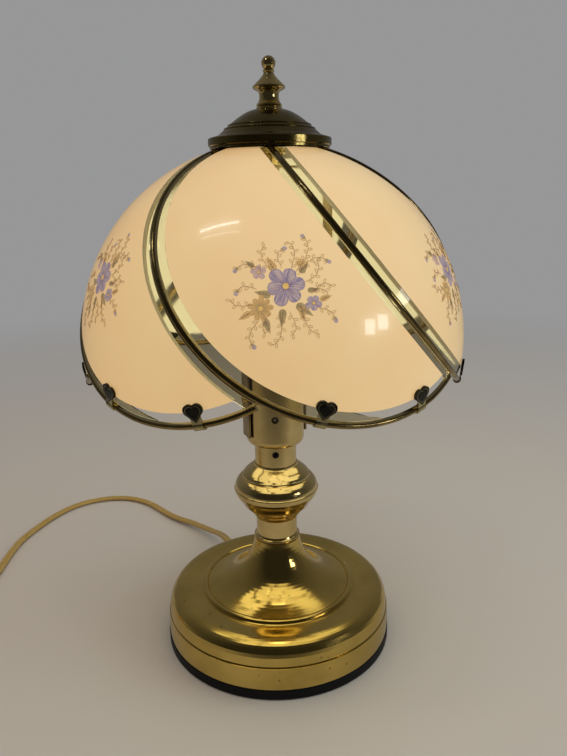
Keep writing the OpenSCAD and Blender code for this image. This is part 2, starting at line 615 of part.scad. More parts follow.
// Glass stem with its support wires and filament
module filament_mount() color([0.8, 0.8, 0.82]) {
    foot_r = bulb_cap_r - 2;
    stem_h = 14.6;
    bow_r = bulb_r * 0.54;
    wire = 0.4;
    translate([0, 0, bulb_neck_z - 2.6]) {
        rotate_extrude() polygon([[0, stem_h - 2.6], [1.4, 6], [foot_r - 2, 0], [foot_r, 0], [foot_r, 0.8],
            [3.4, 8], [2, stem_h], [0, stem_h]]);
        translate([0, 0, stem_h - 1]) cylinder(r = wire, h = bow_r + 1);
        translate([0, 0, stem_h + bow_r * 0.5]) rotate([90, 0, 0]) rotate_extrude(angle = 180)
            translate([bow_r * 0.5, 0]) circle(r = wire, $fn = 16);
        for (w = [-1, 1]) translate([w * 1.2, 0, stem_h - 1]) rotate([0, w * 38, 0])
            cylinder(r = wire, h = bow_r * 0.6 + 1);
    }
}

// Places a petal's own frame: +Z along its axis from the centre of the shade, +X to its lowest point
module in_petal(i) translate([0, 0, shade_z])
    rotate([0, 90 - petal_tilt, first_petal + petal_step * i]) children();
// Solid of all that lies within an angle of a petal's axis
module within(w) rotate_extrude($fn = 96)
    polygon([[0, 0], 2 * glass_r * [sin(w), cos(w)], [0, 2 * glass_r]]);
// Solid below the cone that planes a bevel, from the full glass at one angle to its edge at another
module below_bevel(full, edge) {
    a = glass_r * [sin(full), cos(full)];
    b = (glass_r - bevel_d) * [sin(edge), cos(edge)];
    slope = (b.y - a.y) / (b.x - a.x);
    rotate_extrude($fn = 96) polygon([[0, -3 * glass_r], [0, a.y - slope * a.x],
        [2 * glass_r, a.y + slope * (2 * glass_r - a.x)], [2 * glass_r, -3 * glass_r]]);
}
// One bent glass petal: round on its left and below, cut on its right along the next petal's wire
module petal(i) color(cream) difference() {
    intersection() {
        in_petal(i) difference() {
            intersection() {
                sphere(r = glass_r, $fn = 96);
                within(petal_spread - edge_angle);
                below_bevel(petal_spread - edge_angle - bevel_angle, petal_spread - edge_angle);
            }
            sphere(r = glass_r - glass_t, $fn = 96);
        }
        in_petal(i + 1) below_bevel(petal_spread + edge_angle + bevel_angle, petal_spread + edge_angle);
    }
    in_petal(i + 1) within(petal_spread + edge_angle);
    translate([0, 0, shade_z + glass_r * 0.6]) cylinder(r = glass_top_r, h = glass_r);
}
// The brass wire of one petal, from the plate under the cap round to the next petal's wire
module petal_wire(i) color(brass) in_petal(i) translate([0, 0, wire_ring_z]) rotate(-plate_meet)
    rotate_extrude(angle = plate_meet + wire_stop, $fn = 96) translate([wire_ring_r, 0])
        circle(r = wire_r, $fn = 32);

// Heart outline, its point along +X, the point at the origin
module heart(w) {
    s = w / 1.707;
    translate([-s * 0.707, 0]) {
        rotate(45) square(s, center = true);
        for (y = [-1, 1]) translate([-s * 0.3536, y * s * 0.3536]) circle(r = s / 2);
    }
}
// A clip: a heart with a raised rim on the glass, and a strap from its point round the wire
clip_lift = 0.25;
hook_in = wire_r + 0.08;
heart_back = 2.6;
strap_lap = 0.23;
module heart_clip() {
    reach = (heart_back + heart_w * 0.45) / glass_r * 180 / PI;
    rotate([0, petal_spread - reach, 0]) translate([0, 0, glass_r + clip_lift]) {
        slide = glass_r * tan(reach) - heart_back;
        translate([slide, 0, 0]) {
            linear_extrude(clip_t) heart(heart_w);
            translate([0, 0, clip_t]) linear_extrude(0.5) difference() {
                heart(heart_w);
                translate([-1, 0]) heart(heart_w - 2);
            }
        }
        translate([slide - heart_w * 0.3, -strap_w / 2, 0])
            cube([heart_w * 0.3 + heart_back + strap_lap - hook_in, strap_w, clip_t]);
    }
    translate([wire_ring_r, 0, wire_ring_z]) rotate([0, petal_spread, 0]) rotate([90, 0, 0])
        translate([0, 0, -strap_w / 2]) linear_extrude(strap_w) polygon(concat(
            arc(0, 0, hook_in, -70, 138, 14), reversed(arc(0, 0, hook_in + clip_t, -70, 138, 14))));
}
module heart_clips() color([0.32, 0.26, 0.12])
    for (i = [0:petals - 1], side = [-1, 1]) in_petal(i) rotate(clip_shift + side * clip_turn) heart_clip();

// Flat plate that the wires are soldered to, and that sits on the stud's collar
module shade_ring() color(brass) washer(ring_r - seat_gap, stud_hole, plate_z, plate_t);

// Spun cap: a hem that rests on the wires, a brim, a dome with two fine beads, and a flat for the finial
dome_foot = brim_z + brim_h + 1.2;
function dome_at(t) = curve_at([cap_r - 5.1, dome_foot], [cap_r - 9.1, dome_foot + 3],
    [finial_r + 8.5, cap_top - 0.8], [finial_r + 0.4, cap_top], t);
cap_line = concat([[cap_r - hem_in, brim_z], [cap_r - hem_in, brim_z + hem_h],
    [cap_r, brim_z + hem_h + 0.4],
        [cap_r, brim_z + brim_h - 0.5], [cap_r - 0.6, brim_z + brim_h]],
    [for (i = [0:14]) dome_at(i / 14)], [[stud_hole, cap_top]]);
module shade_cap() color(satin_brass) {
    spun_sheet(cap_line, cap_t);
    for (t = [0.26, 0.37]) rotate_extrude($fn = 96) translate(dome_at(t)) circle(r = 0.45, $fn = 16);
}

// Turned finial: foot, waist, flange, spire and ball, threaded from below
module finial() color(brass) translate([0, 0, cap_top]) {
    ball = 3.8;
    r = finial_r;
    difference() {
        rotate_extrude($fn = 64) polygon(concat([[0, 0], [r, 0], [r + 0.1, 0.8], [r - 0.5, 1.4],
            [r - 0.1, 2],
            [r - 0.3, 2.7]], curve([r - 0.6, 3], [r - 2.2, 4.6], [r - 1.8, 7.5], [r - 1.5, 8.6], 6),
            [[r - 0.4, 9.4], [r + 1.3, 10.2], [r + 1.8, 10.9], [r + 1.6, 11.7]],
            curve([r + 1.1, 12.1], [r - 1.4, 14.6], [2.6, 17], [2.7, finial_h - 8.1], 9),
            [[3.1, finial_h - 7.8], [3.1, finial_h - 7.2], [2.35, finial_h - 6.9]],
            arc(0, finial_h - ball, ball, -52, 90, 12)));
        translate([0, 0, -1]) cylinder(r = stud_r + turn_gap, h = finial_bore + 1);
    }
}

// Strain relief: a flanged grommet in the side band that tapers along the cord
relief_in = shell_r - sheet_t - 0.7;
relief_out = shell_r + 0.25;
relief_tip = relief_out + relief_l - 1;
module strain_relief() color(amber) rotate(relief_turn) translate([0, 0, relief_z]) rotate([0, 90, 0])
    rotate_extrude() polygon([[0, relief_in - 1.6], [relief_r + 0.7, relief_in - 1.6],
        [relief_r + 0.7, relief_in],
        [relief_r, relief_in], [relief_r, relief_out], [relief_r + 1, relief_out],
        [relief_r + 1, relief_out + 1.6],
        [relief_r - 0.5, relief_out + 2.2], [3.1, relief_tip], [0, relief_tip]]);

// Flat twin cord from the relief's tip to the coil
cord_section = [for (p = [[1, 0.42], [0.62, 1], [-0.62, 1], [-1, 0.42], [-1, -0.42], [-0.62, -1],
    [0.62, -1], [1, -0.42]]) [p.x * cord_w / 2, p.y * cord_t / 2]];
relief_dir = [cos(relief_turn), sin(relief_turn), 0];
free_route = concat([for (away = [0.25, 4]) [0, 0, relief_z] + (relief_tip + away) * relief_dir],
    cord_route);
module lamp_cord() color(amber) flat_tube(free_route, cord_section);

// Coil: radius and height by turns, clockwise from above; the spiral reverses as it climbs to the second layer
function coil_radius(u) =
    let (d = abs(u - coil_turns / 2))
    coil_out - coil_pitch * (coil_turns / 2 - d) - coil_dip * max(0, 1 - (d / 0.25) ^ 2) ^ 2;
function coil_height(u) =
    let (t = min(1, max(0, (u - coil_turns / 2) / 0.3 + 0.5)))
    coil_low + coil_rise * t * t * (3 - 2 * t);
function coil_point(u) =
    [coil_x + coil_radius(u) * cos(-360 * u), coil_y + coil_radius(u) * sin(-360 * u), coil_height(u)];
coil_path = concat([[coil_x + coil_out, coil_y + coil_lead, coil_low]],
    [for (i = [0:coil_turns * coil_steps]) coil_point(i / coil_steps)],
    [coil_point(coil_turns) + [0, coil_tail, 0]]);
coil_section = [for (p = [[1, 0], [0.6, 1], [-0.6, 1], [-1, 0], [-0.6, -1], [0.6, -1]])
    [p.x * cord_w / 2, p.y * cord_t / 2]];
module cord_coil() color(amber) flat_tube(coil_path, coil_section);

// Length along a path, and the least clear gap between turns of the coil
function path_length(p, i = 0, sum = 0) =
    i >= len(p) - 1 ? sum : path_length(p, i + 1, sum + norm(p[i + 1] - p[i]));
coil_gaps = [for (i = [0:len(coil_path) - 1]) for (j = [i + 12:1:len(coil_path) - 1])
    let (d = coil_path[i] - coil_path[j])
    max(norm([d.x, d.y]) - cord_w, abs(d.z) - cord_t)];
echo(cord_length = path_length(free_route) + path_length(coil_path), coil_gap = min(coil_gaps));

// Strap tie round the turns, on the side of the coil away from the lamp
tie_turn = 225;
tie_w = 5;
tie_t = 0.45;
module cord_tie() color([0.1, 0.1, 0.1]) {
    low = 0.05;
    high = coil_low + coil_rise + cord_t / 2 + 0.25;
    in = coil_radius(coil_turns / 2) - cord_w / 2 - 1.4;
    out = coil_out + cord_w / 2 + 1.2;
    translate([coil_x, coil_y, 0]) rotate(tie_turn) translate([0, tie_w / 2, 0]) rotate([90, 0, 0])
        linear_extrude(tie_w) difference() {
            polygon([[in, low], [out, low], [out, high + tie_t], [in, high + tie_t]]);
            polygon([[in + tie_t, low + tie_t], [out - tie_t, low + tie_t], [out - tie_t, high],
                [in + tie_t, high]]);
        }
}

// Plug beside the coil: a moulded body on the cord's end and two flat blades
plug_at = coil_path[len(coil_path) - 1];
plug_z = plug_h / 2 + 0.1;
module plug_body() color(amber) {
    translate([plug_at.x, plug_at.y, plug_at.z]) rotate([-90, 0, 0]) difference() {
        cylinder(r1 = 3.2, r2 = 3.9, h = plug_taper + 1);
        translate([-5, plug_at.z - 0.1, -1]) cube([10, 5, plug_taper + 3]);
    }
    translate([plug_at.x, plug_at.y + plug_taper, plug_z]) rotate([-90, 0, 0])
        linear_extrude(plug_l) {
            for (s = [-1, 1]) translate([s * (plug_w - plug_h) / 2, 0]) circle(r = plug_h / 2);
            square([plug_w - plug_h, plug_h], center = true);
        }
}
module plug_blades() color(steel)
    for (s = [-1, 1]) translate([plug_at.x + s * blade_gap / 2 - blade_t / 2,
        plug_at.y + plug_taper + plug_l, plug_z - blade_w / 2]) difference() {
        cube([blade_t, blade_l, blade_w]);
        translate([-1, blade_l - 4.2, blade_w / 2]) rotate([0, 90, 0]) cylinder(r = 1.6, h = blade_t + 2);
    }

felt_pad();
bottom_cover();
base_weight();
bottom_washer();
bottom_nut();
base_shell();
neck_nut();
touch_lug();
touch_lead();
control_module();
supply_leads();
module_leads();
socket_leads();
wire_nuts();
lamp_pipe();
check_ring();
neck_tube();
knob_lower();
knob_upper();
upper_tube();
tube_screw();
socket_cup();
cup_screw();
lock_washer();
top_nut();
socket_base();
centre_contact();
screw_shell();
socket_liner();
harp();
harp_screws();
harp_stud();
bulb_contact();
bulb_insulator();
bulb_cap();
bulb_glass();
filament_mount();
petal(0);  // petal_1
petal(1);  // petal_2
petal(2);  // petal_3
petal(3);  // petal_4
petal(4);  // petal_5
petal(5);  // petal_6
petal_wire(0);  // petal_wire_1
petal_wire(1);  // petal_wire_2
petal_wire(2);  // petal_wire_3
petal_wire(3);  // petal_wire_4
petal_wire(4);  // petal_wire_5
petal_wire(5);  // petal_wire_6
heart_clips();
shade_ring();
shade_cap();
finial();
strain_relief();
lamp_cord();
cord_coil();
cord_tie();
plug_body();
plug_blades();
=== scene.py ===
import math

import bpy
from mathutils import Matrix, Vector


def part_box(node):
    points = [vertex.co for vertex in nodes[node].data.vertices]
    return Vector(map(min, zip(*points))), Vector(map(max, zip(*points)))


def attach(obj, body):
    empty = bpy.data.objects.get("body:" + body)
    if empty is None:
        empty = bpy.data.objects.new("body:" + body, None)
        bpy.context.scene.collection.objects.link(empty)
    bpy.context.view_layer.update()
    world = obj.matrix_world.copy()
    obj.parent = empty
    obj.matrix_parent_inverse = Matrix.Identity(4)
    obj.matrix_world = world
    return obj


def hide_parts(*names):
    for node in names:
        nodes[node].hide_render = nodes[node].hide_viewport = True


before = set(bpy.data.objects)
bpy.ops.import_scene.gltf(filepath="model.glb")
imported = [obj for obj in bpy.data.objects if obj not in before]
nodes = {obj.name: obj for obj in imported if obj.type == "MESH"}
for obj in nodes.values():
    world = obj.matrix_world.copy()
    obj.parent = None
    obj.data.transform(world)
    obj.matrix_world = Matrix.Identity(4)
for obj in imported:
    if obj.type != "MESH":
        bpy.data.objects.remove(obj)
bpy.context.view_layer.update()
mm = 0.001
petalCount = 6


# Small helpers for picking, cutting and finishing pieces
def clearSelection():
    for thing in list(bpy.context.selected_objects):
        thing.select_set(False)


def pick(piece):
    clearSelection()
    piece.select_set(True)
    bpy.context.view_layer.objects.active = piece


def named(name):
    piece = bpy.context.object
    piece.name = name
    piece.data.name = name
    return piece


def applyPlace(piece):
    pick(piece)
    bpy.ops.object.transform_apply(location=True, rotation=True, scale=True)


# Edit-mode operators on the whole of a piece
def editAll(piece, *steps):
    pick(piece)
    bpy.ops.object.mode_set(mode="EDIT")
    bpy.ops.mesh.select_all(action="SELECT")
    for step in steps:
        step()
    bpy.ops.object.mode_set(mode="OBJECT")


# Cuts a piece with a plane and drops the side that the normal points to
def cutAway(piece, point, normal, fill=False):
    editAll(piece, lambda: bpy.ops.mesh.bisect(plane_co=point, plane_no=normal, use_fill=fill, clear_outer=True))


def applyModifier(piece, name, kind, **settings):
    pick(piece)
    modifier = piece.modifiers.new(name, kind)
    for key, value in settings.items():
        setattr(modifier, key, value)
    bpy.ops.object.modifier_apply(modifier=name)


def smooth(piece, degrees=40):
    pick(piece)
    bpy.ops.object.shade_smooth_by_angle(angle=math.radians(degrees))


def outwards(piece):
    editAll(piece, lambda: bpy.ops.mesh.normals_make_consistent(inside=False))


def paint(piece, *materials):
    piece.data.materials.clear()
    for material in materials:
        piece.data.materials.append(material)


def joined(shapes, name):
    clearSelection()
    for shape in shapes:
        shape.select_set(True)
    bpy.context.view_layer.objects.active = shapes[0]
    bpy.ops.object.join()
    return named(name)


# A copy with its own mesh, turned about the post
def copyOf(piece, name, turn):
    twin = piece.copy()
    twin.data = piece.data.copy()
    twin.name = name
    twin.data.name = name
    bpy.context.scene.collection.objects.link(twin)
    twin.data.transform(Matrix.Rotation(turn, 4, "Z"))
    return twin


# Camera, at the photograph's place
cameraView = {"place": (0, -386.34, 273.77), "pitch": 15.261, "yaw": 0.823, "roll": -0.846, "lens": 31.912}


def makeCamera():
    bpy.ops.object.camera_add()
    camera = bpy.context.object
    camera.data.sensor_width = 36
    camera.data.lens = cameraView["lens"]
    camera.data.clip_start = 0.01
    turn = (Matrix.Rotation(-math.radians(cameraView["yaw"]), 4, "Z")
            @ Matrix.Rotation(math.radians(90 - cameraView["pitch"]), 4, "X")
            @ Matrix.Rotation(math.radians(cameraView["roll"]), 4, "Z"))
    camera.matrix_world = Matrix.Translation(Vector(cameraView["place"]) * mm) @ turn
    bpy.context.scene.camera = camera


makeCamera()
print("camera placed")


# Materials
def newMaterial(name, **sockets):
    material = bpy.data.materials.new(name)
    material.use_nodes = True
    shader = material.node_tree.nodes["Principled BSDF"]
    for key, value in sockets.items():
        shader.inputs[key.replace("_", " ")].default_value = value
    return material, material.node_tree, shader


def feed(tree, source, socket):
    if isinstance(source, bpy.types.NodeSocket):
        tree.links.new(source, socket)
    else:
        socket.default_value = source


def objectPoint(tree):
    return tree.nodes.new("ShaderNodeTexCoord").outputs["Object"]


def noise(tree, vector, scale, detail=3, roughness=0.5):
    node = tree.nodes.new("ShaderNodeTexNoise")
    node.inputs["Detail"].default_value = detail
    node.inputs["Roughness"].default_value = roughness
    feed(tree, vector, node.inputs["Vector"])
    feed(tree, scale, node.inputs["Scale"])
    return node.outputs["Fac"]


def spread(tree, value, low, high, outLow, outHigh):
    node = tree.nodes.new("ShaderNodeMapRange")
    for key, number in zip(("From Min", "From Max", "To Min", "To Max"), (low, high, outLow, outHigh)):
        feed(tree, number, node.inputs[key])
    feed(tree, value, node.inputs["Value"])
    return node.outputs["Result"]


def calc(tree, kind, a, b=0.0):
    node = tree.nodes.new("ShaderNodeMath")
    node.operation = kind
    feed(tree, a, node.inputs[0])
    feed(tree, b, node.inputs[1])
    return node.outputs[0]


def blendColour(tree, factor, a, b):
    node = tree.nodes.new("ShaderNodeMix")
    node.data_type = "RGBA"
    feed(tree, factor, node.inputs[0])
    feed(tree, a, node.inputs[6])
    feed(tree, b, node.inputs[7])
    return node.outputs[2]


def bump(tree, shader, height, strength, distance):
    node = tree.nodes.new("ShaderNodeBump")
    node.inputs["Strength"].default_value = strength
    node.inputs["Distance"].default_value = distance
    feed(tree, height, node.inputs["Height"])
    tree.links.new(node.outputs["Normal"], shader.inputs["Normal"])


# Cloudy patches, scattered pits and fine grain that every metal finish shares
def makeWearGroup():
    group = bpy.data.node_groups.new("metalWear", "ShaderNodeTree")
    for name, value in (("Patch Scale", 40.0), ("Pit Scale", 400.0), ("Pit Share", 0.5)):
        group.interface.new_socket(name, in_out="INPUT", socket_type="NodeSocketFloat").default_value = value
    for name in ("Patch", "Pit", "Grain"):
        group.interface.new_socket(name, in_out="OUTPUT", socket_type="NodeSocketFloat")
    given = group.nodes.new("NodeGroupInput")
    result = group.nodes.new("NodeGroupOutput")
    point = objectPoint(group)
    cloud = noise(group, point, given.outputs["Patch Scale"], 5, 0.6)
    group.links.new(spread(group, cloud, 0.35, 0.68, 0.0, 1.0), result.inputs["Patch"])
    cells = group.nodes.new("ShaderNodeTexVoronoi")
    feed(group, point, cells.inputs["Vector"])
    feed(group, given.outputs["Pit Scale"], cells.inputs["Scale"])
    dot = spread(group, cells.outputs["Distance"], 0.05, 0.17, 1.0, 0.0)
    region = noise(group, point, calc(group, "MULTIPLY", given.outputs["Pit Scale"], 0.21), 2)
    share = spread(group, region, calc(group, "SUBTRACT", 1.0, given.outputs["Pit Share"]), 1.0, 0.0, 4.0)
    group.links.new(calc(group, "MULTIPLY", dot, calc(group, "MINIMUM", share, 1.0)), result.inputs["Pit"])
    group.links.new(noise(group, point, 1500.0, 2), result.inputs["Grain"])
    return group


wearGroup = makeWearGroup()


def metal(name, bright, dull, pitTone, rough, patch=38.0, pits=420.0, share=0.45, grain=0.02, coat=0.2):
    material, tree, shader = newMaterial(name, Metallic=1.0, Coat_Weight=coat, Coat_Roughness=0.12)
    wear = tree.nodes.new("ShaderNodeGroup")
    wear.node_tree = wearGroup
    for key, value in (("Patch Scale", patch), ("Pit Scale", pits), ("Pit Share", share)):
        wear.inputs[key].default_value = value
    tone = blendColour(tree, wear.outputs["Patch"], (*bright, 1), (*dull, 1))
    tone = blendColour(tree, wear.outputs["Pit"], tone, (*pitTone, 1))
    tree.links.new(tone, shader.inputs["Base Color"])
    gloss = spread(tree, wear.outputs["Patch"], 0.0, 1.0, rough[0], rough[1])
    gloss = calc(tree, "ADD", gloss, calc(tree, "MULTIPLY", wear.outputs["Pit"], 0.3))
    tree.links.new(gloss, shader.inputs["Roughness"])
    bump(tree, shader, calc(tree, "SUBTRACT", wear.outputs["Grain"], wear.outputs["Pit"]), grain, 0.0002)
    return material


def plastic(name, tone, second, rough, scale=900.0, **sockets):
    material, tree, shader = newMaterial(name, **sockets)
    cloud = noise(tree, objectPoint(tree), scale, 3)
    tree.links.new(blendColour(tree, cloud, (*tone, 1), (*second, 1)), shader.inputs["Base Color"])
    tree.links.new(spread(tree, cloud, 0.3, 0.7, rough[0], rough[1]), shader.inputs["Roughness"])
    bump(tree, shader, cloud, 0.05, 0.0001)
    return material


def vectorCalc(tree, kind, a, b):
    node = tree.nodes.new("ShaderNodeVectorMath")
    node.operation = kind
    feed(tree, a, node.inputs[0])
    feed(tree, b, node.inputs[1])
    return node.outputs


# Print on the enamel, with painted glow from behind as the enamel has: a wash with streaks along each form and a thin
# outline
def ink(name, tone, deep, streaks=0.85, outline=0.7):
    material, tree, shader = newMaterial(name, Emission_Strength=0.42, Roughness=0.3, Coat_Weight=0.5)
    place = tree.nodes.new("ShaderNodeTexCoord").outputs["UV"]
    fromMiddle = vectorCalc(tree, "DISTANCE", place, (0.5, 0.5, 0))["Value"]
    drift = vectorCalc(tree, "MULTIPLY", objectPoint(tree), (90, 90, 90))["Vector"]
    along = vectorCalc(tree, "MULTIPLY", place, (1.6, 12, 0))["Vector"]
    streak = noise(tree, vectorCalc(tree, "ADD", along, drift)["Vector"], 1.0, 3, 0.6)
    share = calc(tree, "MAXIMUM", spread(tree, streak, 0.44, 0.62, 0.0, streaks),
                 spread(tree, fromMiddle, 0.42, 0.47, 0.0, outline))
    tone = blendColour(tree, share, (*tone, 1), (*deep, 1))
    darker = blendColour(tree, 0.45, tone, (0, 0, 0, 1))
    tree.links.new(darker, shader.inputs["Base Color"])
    tree.links.new(tone, shader.inputs["Emission Color"])
    return material


# Enamel or glass that glows by emission: on the bulb this is its own light, on the enamel it is painted glow standing
# in for the bulb's light behind it. The glow varies a little over the surface
def glowing(name, tone, second, glow, strength, rough, patch=16.0):
    material, tree, shader = newMaterial(name, Emission_Strength=strength, Coat_Weight=0.6, Coat_Roughness=0.03)
    cloud = spread(tree, noise(tree, objectPoint(tree), patch, 3), 0.3, 0.7, 0.0, 1.0)
    tree.links.new(blendColour(tree, cloud, (*tone, 1), (*second, 1)), shader.inputs["Base Color"])
    tree.links.new(blendColour(tree, cloud, (*glow[0], 1), (*glow[1], 1)), shader.inputs["Emission Color"])
    tree.links.new(spread(tree, cloud, 0.0, 1.0, rough[0], rough[1]), shader.inputs["Roughness"])
    return material


polishedBrass = metal("polishedBrass", (0.90, 0.70, 0.30), (0.70, 0.52, 0.20), (0.08, 0.06, 0.02), (0.08, 0.2))
baseBrass = metal("baseBrass", (0.86, 0.62, 0.17), (0.62, 0.44, 0.11), (0.06, 0.045, 0.02), (0.09, 0.22),
                  patch=26.0, pits=190.0, share=0.5)
capBrass = metal("capBrass", (0.26, 0.20, 0.06), (0.15, 0.11, 0.03), (0.03, 0.03, 0.02), (0.12, 0.26), patch=60.0)
wireBrass = metal("wireBrass", (0.40, 0.295, 0.11), (0.20, 0.135, 0.045), (0.04, 0.03, 0.01), (0.1, 0.24), patch=90.0,
                  pits=500.0, share=0.55)
clipBrass = metal("clipBrass", (0.66, 0.56, 0.27), (0.40, 0.33, 0.15), (0.04, 0.03, 0.02), (0.18, 0.34), patch=220.0)
lipBrass = metal("lipBrass", (0.95, 0.80, 0.44), (0.80, 0.64, 0.32), (0.12, 0.09, 0.04), (0.06, 0.16), patch=120.0)
heartLine = metal("heartLine", (0.42, 0.37, 0.20), (0.28, 0.24, 0.12), (0.04, 0.03, 0.02), (0.2, 0.36),
                  patch=220.0)
clipFace = metal("clipFace", (0.030, 0.029, 0.020), (0.018, 0.017, 0.012), (0.01, 0.01, 0.01), (0.2, 0.4), patch=300.0)
plainSteel = metal("plainSteel", (0.62, 0.62, 0.64), (0.45, 0.45, 0.46), (0.12, 0.11, 0.10), (0.25, 0.45))
castIron = metal("castIron", (0.16, 0.16, 0.17), (0.10, 0.10, 0.11), (0.05, 0.04, 0.03), (0.5, 0.8), coat=0.0)
thinBrass = metal("thinBrass", (0.80, 0.68, 0.38), (0.62, 0.52, 0.28), (0.15, 0.12, 0.06), (0.2, 0.35))
lampCapMetal = metal("lampCapMetal", (0.78, 0.76, 0.70), (0.58, 0.56, 0.50), (0.2, 0.18, 0.14), (0.2, 0.4))
blackScrew = metal("blackScrew", (0.05, 0.05, 0.05), (0.02, 0.02, 0.02), (0.01, 0.01, 0.01), (0.3, 0.5))
coverBlack = plastic("coverBlack", (0.003, 0.003, 0.003), (0.006, 0.006, 0.006), (0.4, 0.55), IOR=1.25)
caseBlack = plastic("caseBlack", (0.03, 0.03, 0.035), (0.05, 0.05, 0.055), (0.45, 0.6))
orangePlastic = plastic("orangePlastic", (0.75, 0.25, 0.04), (0.6, 0.18, 0.03), (0.35, 0.5))
ceramic = plastic("ceramic", (0.85, 0.82, 0.76), (0.78, 0.75, 0.68), (0.15, 0.3), Coat_Weight=0.5)
fibre = plastic("fibre", (0.36, 0.24, 0.13), (0.28, 0.18, 0.09), (0.6, 0.8), scale=400.0)
darkVinyl = plastic("darkVinyl", (0.02, 0.02, 0.02), (0.035, 0.035, 0.035), (0.35, 0.5))
whiteVinyl = plastic("whiteVinyl", (0.75, 0.74, 0.70), (0.65, 0.64, 0.6), (0.35, 0.5))
greenVinyl = plastic("greenVinyl", (0.03, 0.16, 0.04), (0.02, 0.12, 0.03), (0.35, 0.5))
amberVinyl = plastic("amberVinyl", (0.50, 0.31, 0.07), (0.36, 0.21, 0.05), (0.18, 0.3), scale=160.0,
                     Subsurface_Weight=0.35, Subsurface_Radius=(0.004, 0.002, 0.0008), Coat_Weight=0.4)
felt = plastic("felt", (0.02, 0.022, 0.02), (0.045, 0.05, 0.045), (0.95, 1.0), scale=2500.0, Sheen_Weight=0.3)
# The enamel's outside, inside and cut rim carry painted glow: emission for the bulb's light shining through the enamel,
# onto its inner face and onto its rim
enamel = glowing("enamel", (0.47, 0.385, 0.25), (0.45, 0.345, 0.215), ((1.0, 0.64, 0.242), (1.0, 0.585, 0.208)), 0.505,
                 (0.16, 0.24))
enamelInside = glowing("enamelInside", (0.56, 0.54, 0.46), (0.52, 0.50, 0.42),
                       ((1.0, 0.97, 0.72), (1.0, 0.94, 0.66)), 0.62, (0.4, 0.5))
enamelRim = glowing("enamelRim", (0.42, 0.38, 0.30), (0.38, 0.34, 0.26), ((1.0, 0.84, 0.56), (1.0, 0.80, 0.50)),
                    0.2, (0.4, 0.5))
bulbGlow = glowing("bulbGlow", (0.9, 0.88, 0.82), (0.88, 0.85, 0.78), ((1.0, 0.86, 0.62), (1.0, 0.84, 0.58)), 2.6,
                   (0.3, 0.4), patch=60.0)
lavenderInk = ink("lavenderInk", (0.60, 0.43, 0.37), (0.20, 0.16, 0.30))
paleInk = ink("paleInk", (0.70, 0.46, 0.32), (0.38, 0.26, 0.36))
violetInk = ink("violetInk", (0.20, 0.14, 0.26), (0.16, 0.11, 0.22))
yellowInk = ink("yellowInk", (0.92, 0.57, 0.16), (0.70, 0.36, 0.08), 0.5)
ochreInk = ink("ochreInk", (0.80, 0.50, 0.19), (0.56, 0.29, 0.09))
leafInk = ink("leafInk", (0.56, 0.39, 0.17), (0.32, 0.23, 0.10))
lineInk = ink("lineInk", (0.30, 0.18, 0.09), (0.26, 0.15, 0.07))


def clearGlass(name):
    material, tree, shader = newMaterial(name, Transmission_Weight=1.0, IOR=1.38, Base_Color=(0.80, 0.74, 0.52, 1))
    streak = noise(tree, objectPoint(tree), 70.0, 2)
    tree.links.new(spread(tree, streak, 0.4, 0.7, 0.02, 0.09), shader.inputs["Roughness"])
    bump(tree, shader, streak, 0.03, 0.0006)
    return material


stripGlass = clearGlass("stripGlass")
print("materials made")

# The lead: free stretch and coil, the same points as in the part's source, in millimetres
cord = {
    "width": 5.6,
    "thick": 2.8,
    "inset": 0.005,
    "route": [(-38.27, 85.96, 13.4), (-39.8, 89.39, 13.4), (-42.5, 96, 12.4), (-47.5, 107, 9.4), (-55.5, 118, 6.6),
              (-65, 129.5, 4.6), (-74.5, 139, 3.5), (-84, 146.5, 2.6), (-94.5, 156.5, 2), (-105, 168.5, 1.7),
              (-115.5, 180, 1.6), (-126.5, 188, 1.6), (-137, 192.5, 1.6), (-147, 194, 1.6), (-156.5, 193.5, 1.6),
              (-165.5, 191, 1.6), (-174, 187, 1.6), (-181.5, 181.5, 1.6), (-188.5, 174, 1.6), (-194.5, 164.5, 1.6),
              (-200, 153, 1.6), (-204.5, 141, 1.6), (-208.5, 128.5, 1.6), (-211.5, 115, 1.6), (-212.5, 101, 1.6),
              (-212.5, 87, 1.6), (-212, 73, 1.6), (-212, 59, 1.7), (-212, 46, 1.8), (-212, 34, 1.9), (-212, 26, 2)],
    "coilPlace": (-256, 14), "coilOut": 44, "pitch": 6.5, "turns": 6.5, "low": 2, "rise": 3.5, "dip": 1.25,
    "lead": 6, "tail": 15.5, "steps": 24,
}


def coilPoint(turn):
    away = abs(turn - cord["turns"] / 2)
    radius = (cord["coilOut"] - cord["pitch"] * (cord["turns"] / 2 - away)
              - cord["dip"] * max(0, 1 - (away / 0.25) ** 2) ** 2)
    climb = min(1, max(0, (turn - cord["turns"] / 2) / 0.3 + 0.5))
    angle = -2 * math.pi * turn
    x, y = cord["coilPlace"]
    return Vector((x + radius * math.cos(angle), y + radius * math.sin(angle),
                   cord["low"] + cord["rise"] * climb * climb * (3 - 2 * climb)))


def cordPath():
    x, y = cord["coilPlace"]
    path = [Vector(p) for p in cord["route"]]
    path.append(Vector((x + cord["coilOut"], y + cord["lead"], cord["low"])))
    path += [coilPoint(i / cord["steps"]) for i in range(int(cord["turns"] * cord["steps"]) + 1)]
    path.append(coilPoint(cord["turns"]) + Vector((0, cord["tail"] / 2, 0)))
    path.append(coilPoint(cord["turns"]) + Vector((0, cord["tail"], 0)))
    return [p * mm for p in path]


# More points along a path, on a smooth curve through the given ones
def finer(path, share):
    points = []
    for i in range(len(path) - 1):
        before, start, end, after = (path[max(i - 1, 0)], path[i], path[i + 1], path[min(i + 2, len(path) - 1)])
        for k in range(share):
            t = k / share
            points.append(0.5 * (2 * start + (end - before) * t
                                 + (2 * before - 5 * start + 4 * end - after) * t ** 2
                                 + (3 * start - before - 3 * end + after) * t ** 3))
    return points + [path[-1]]


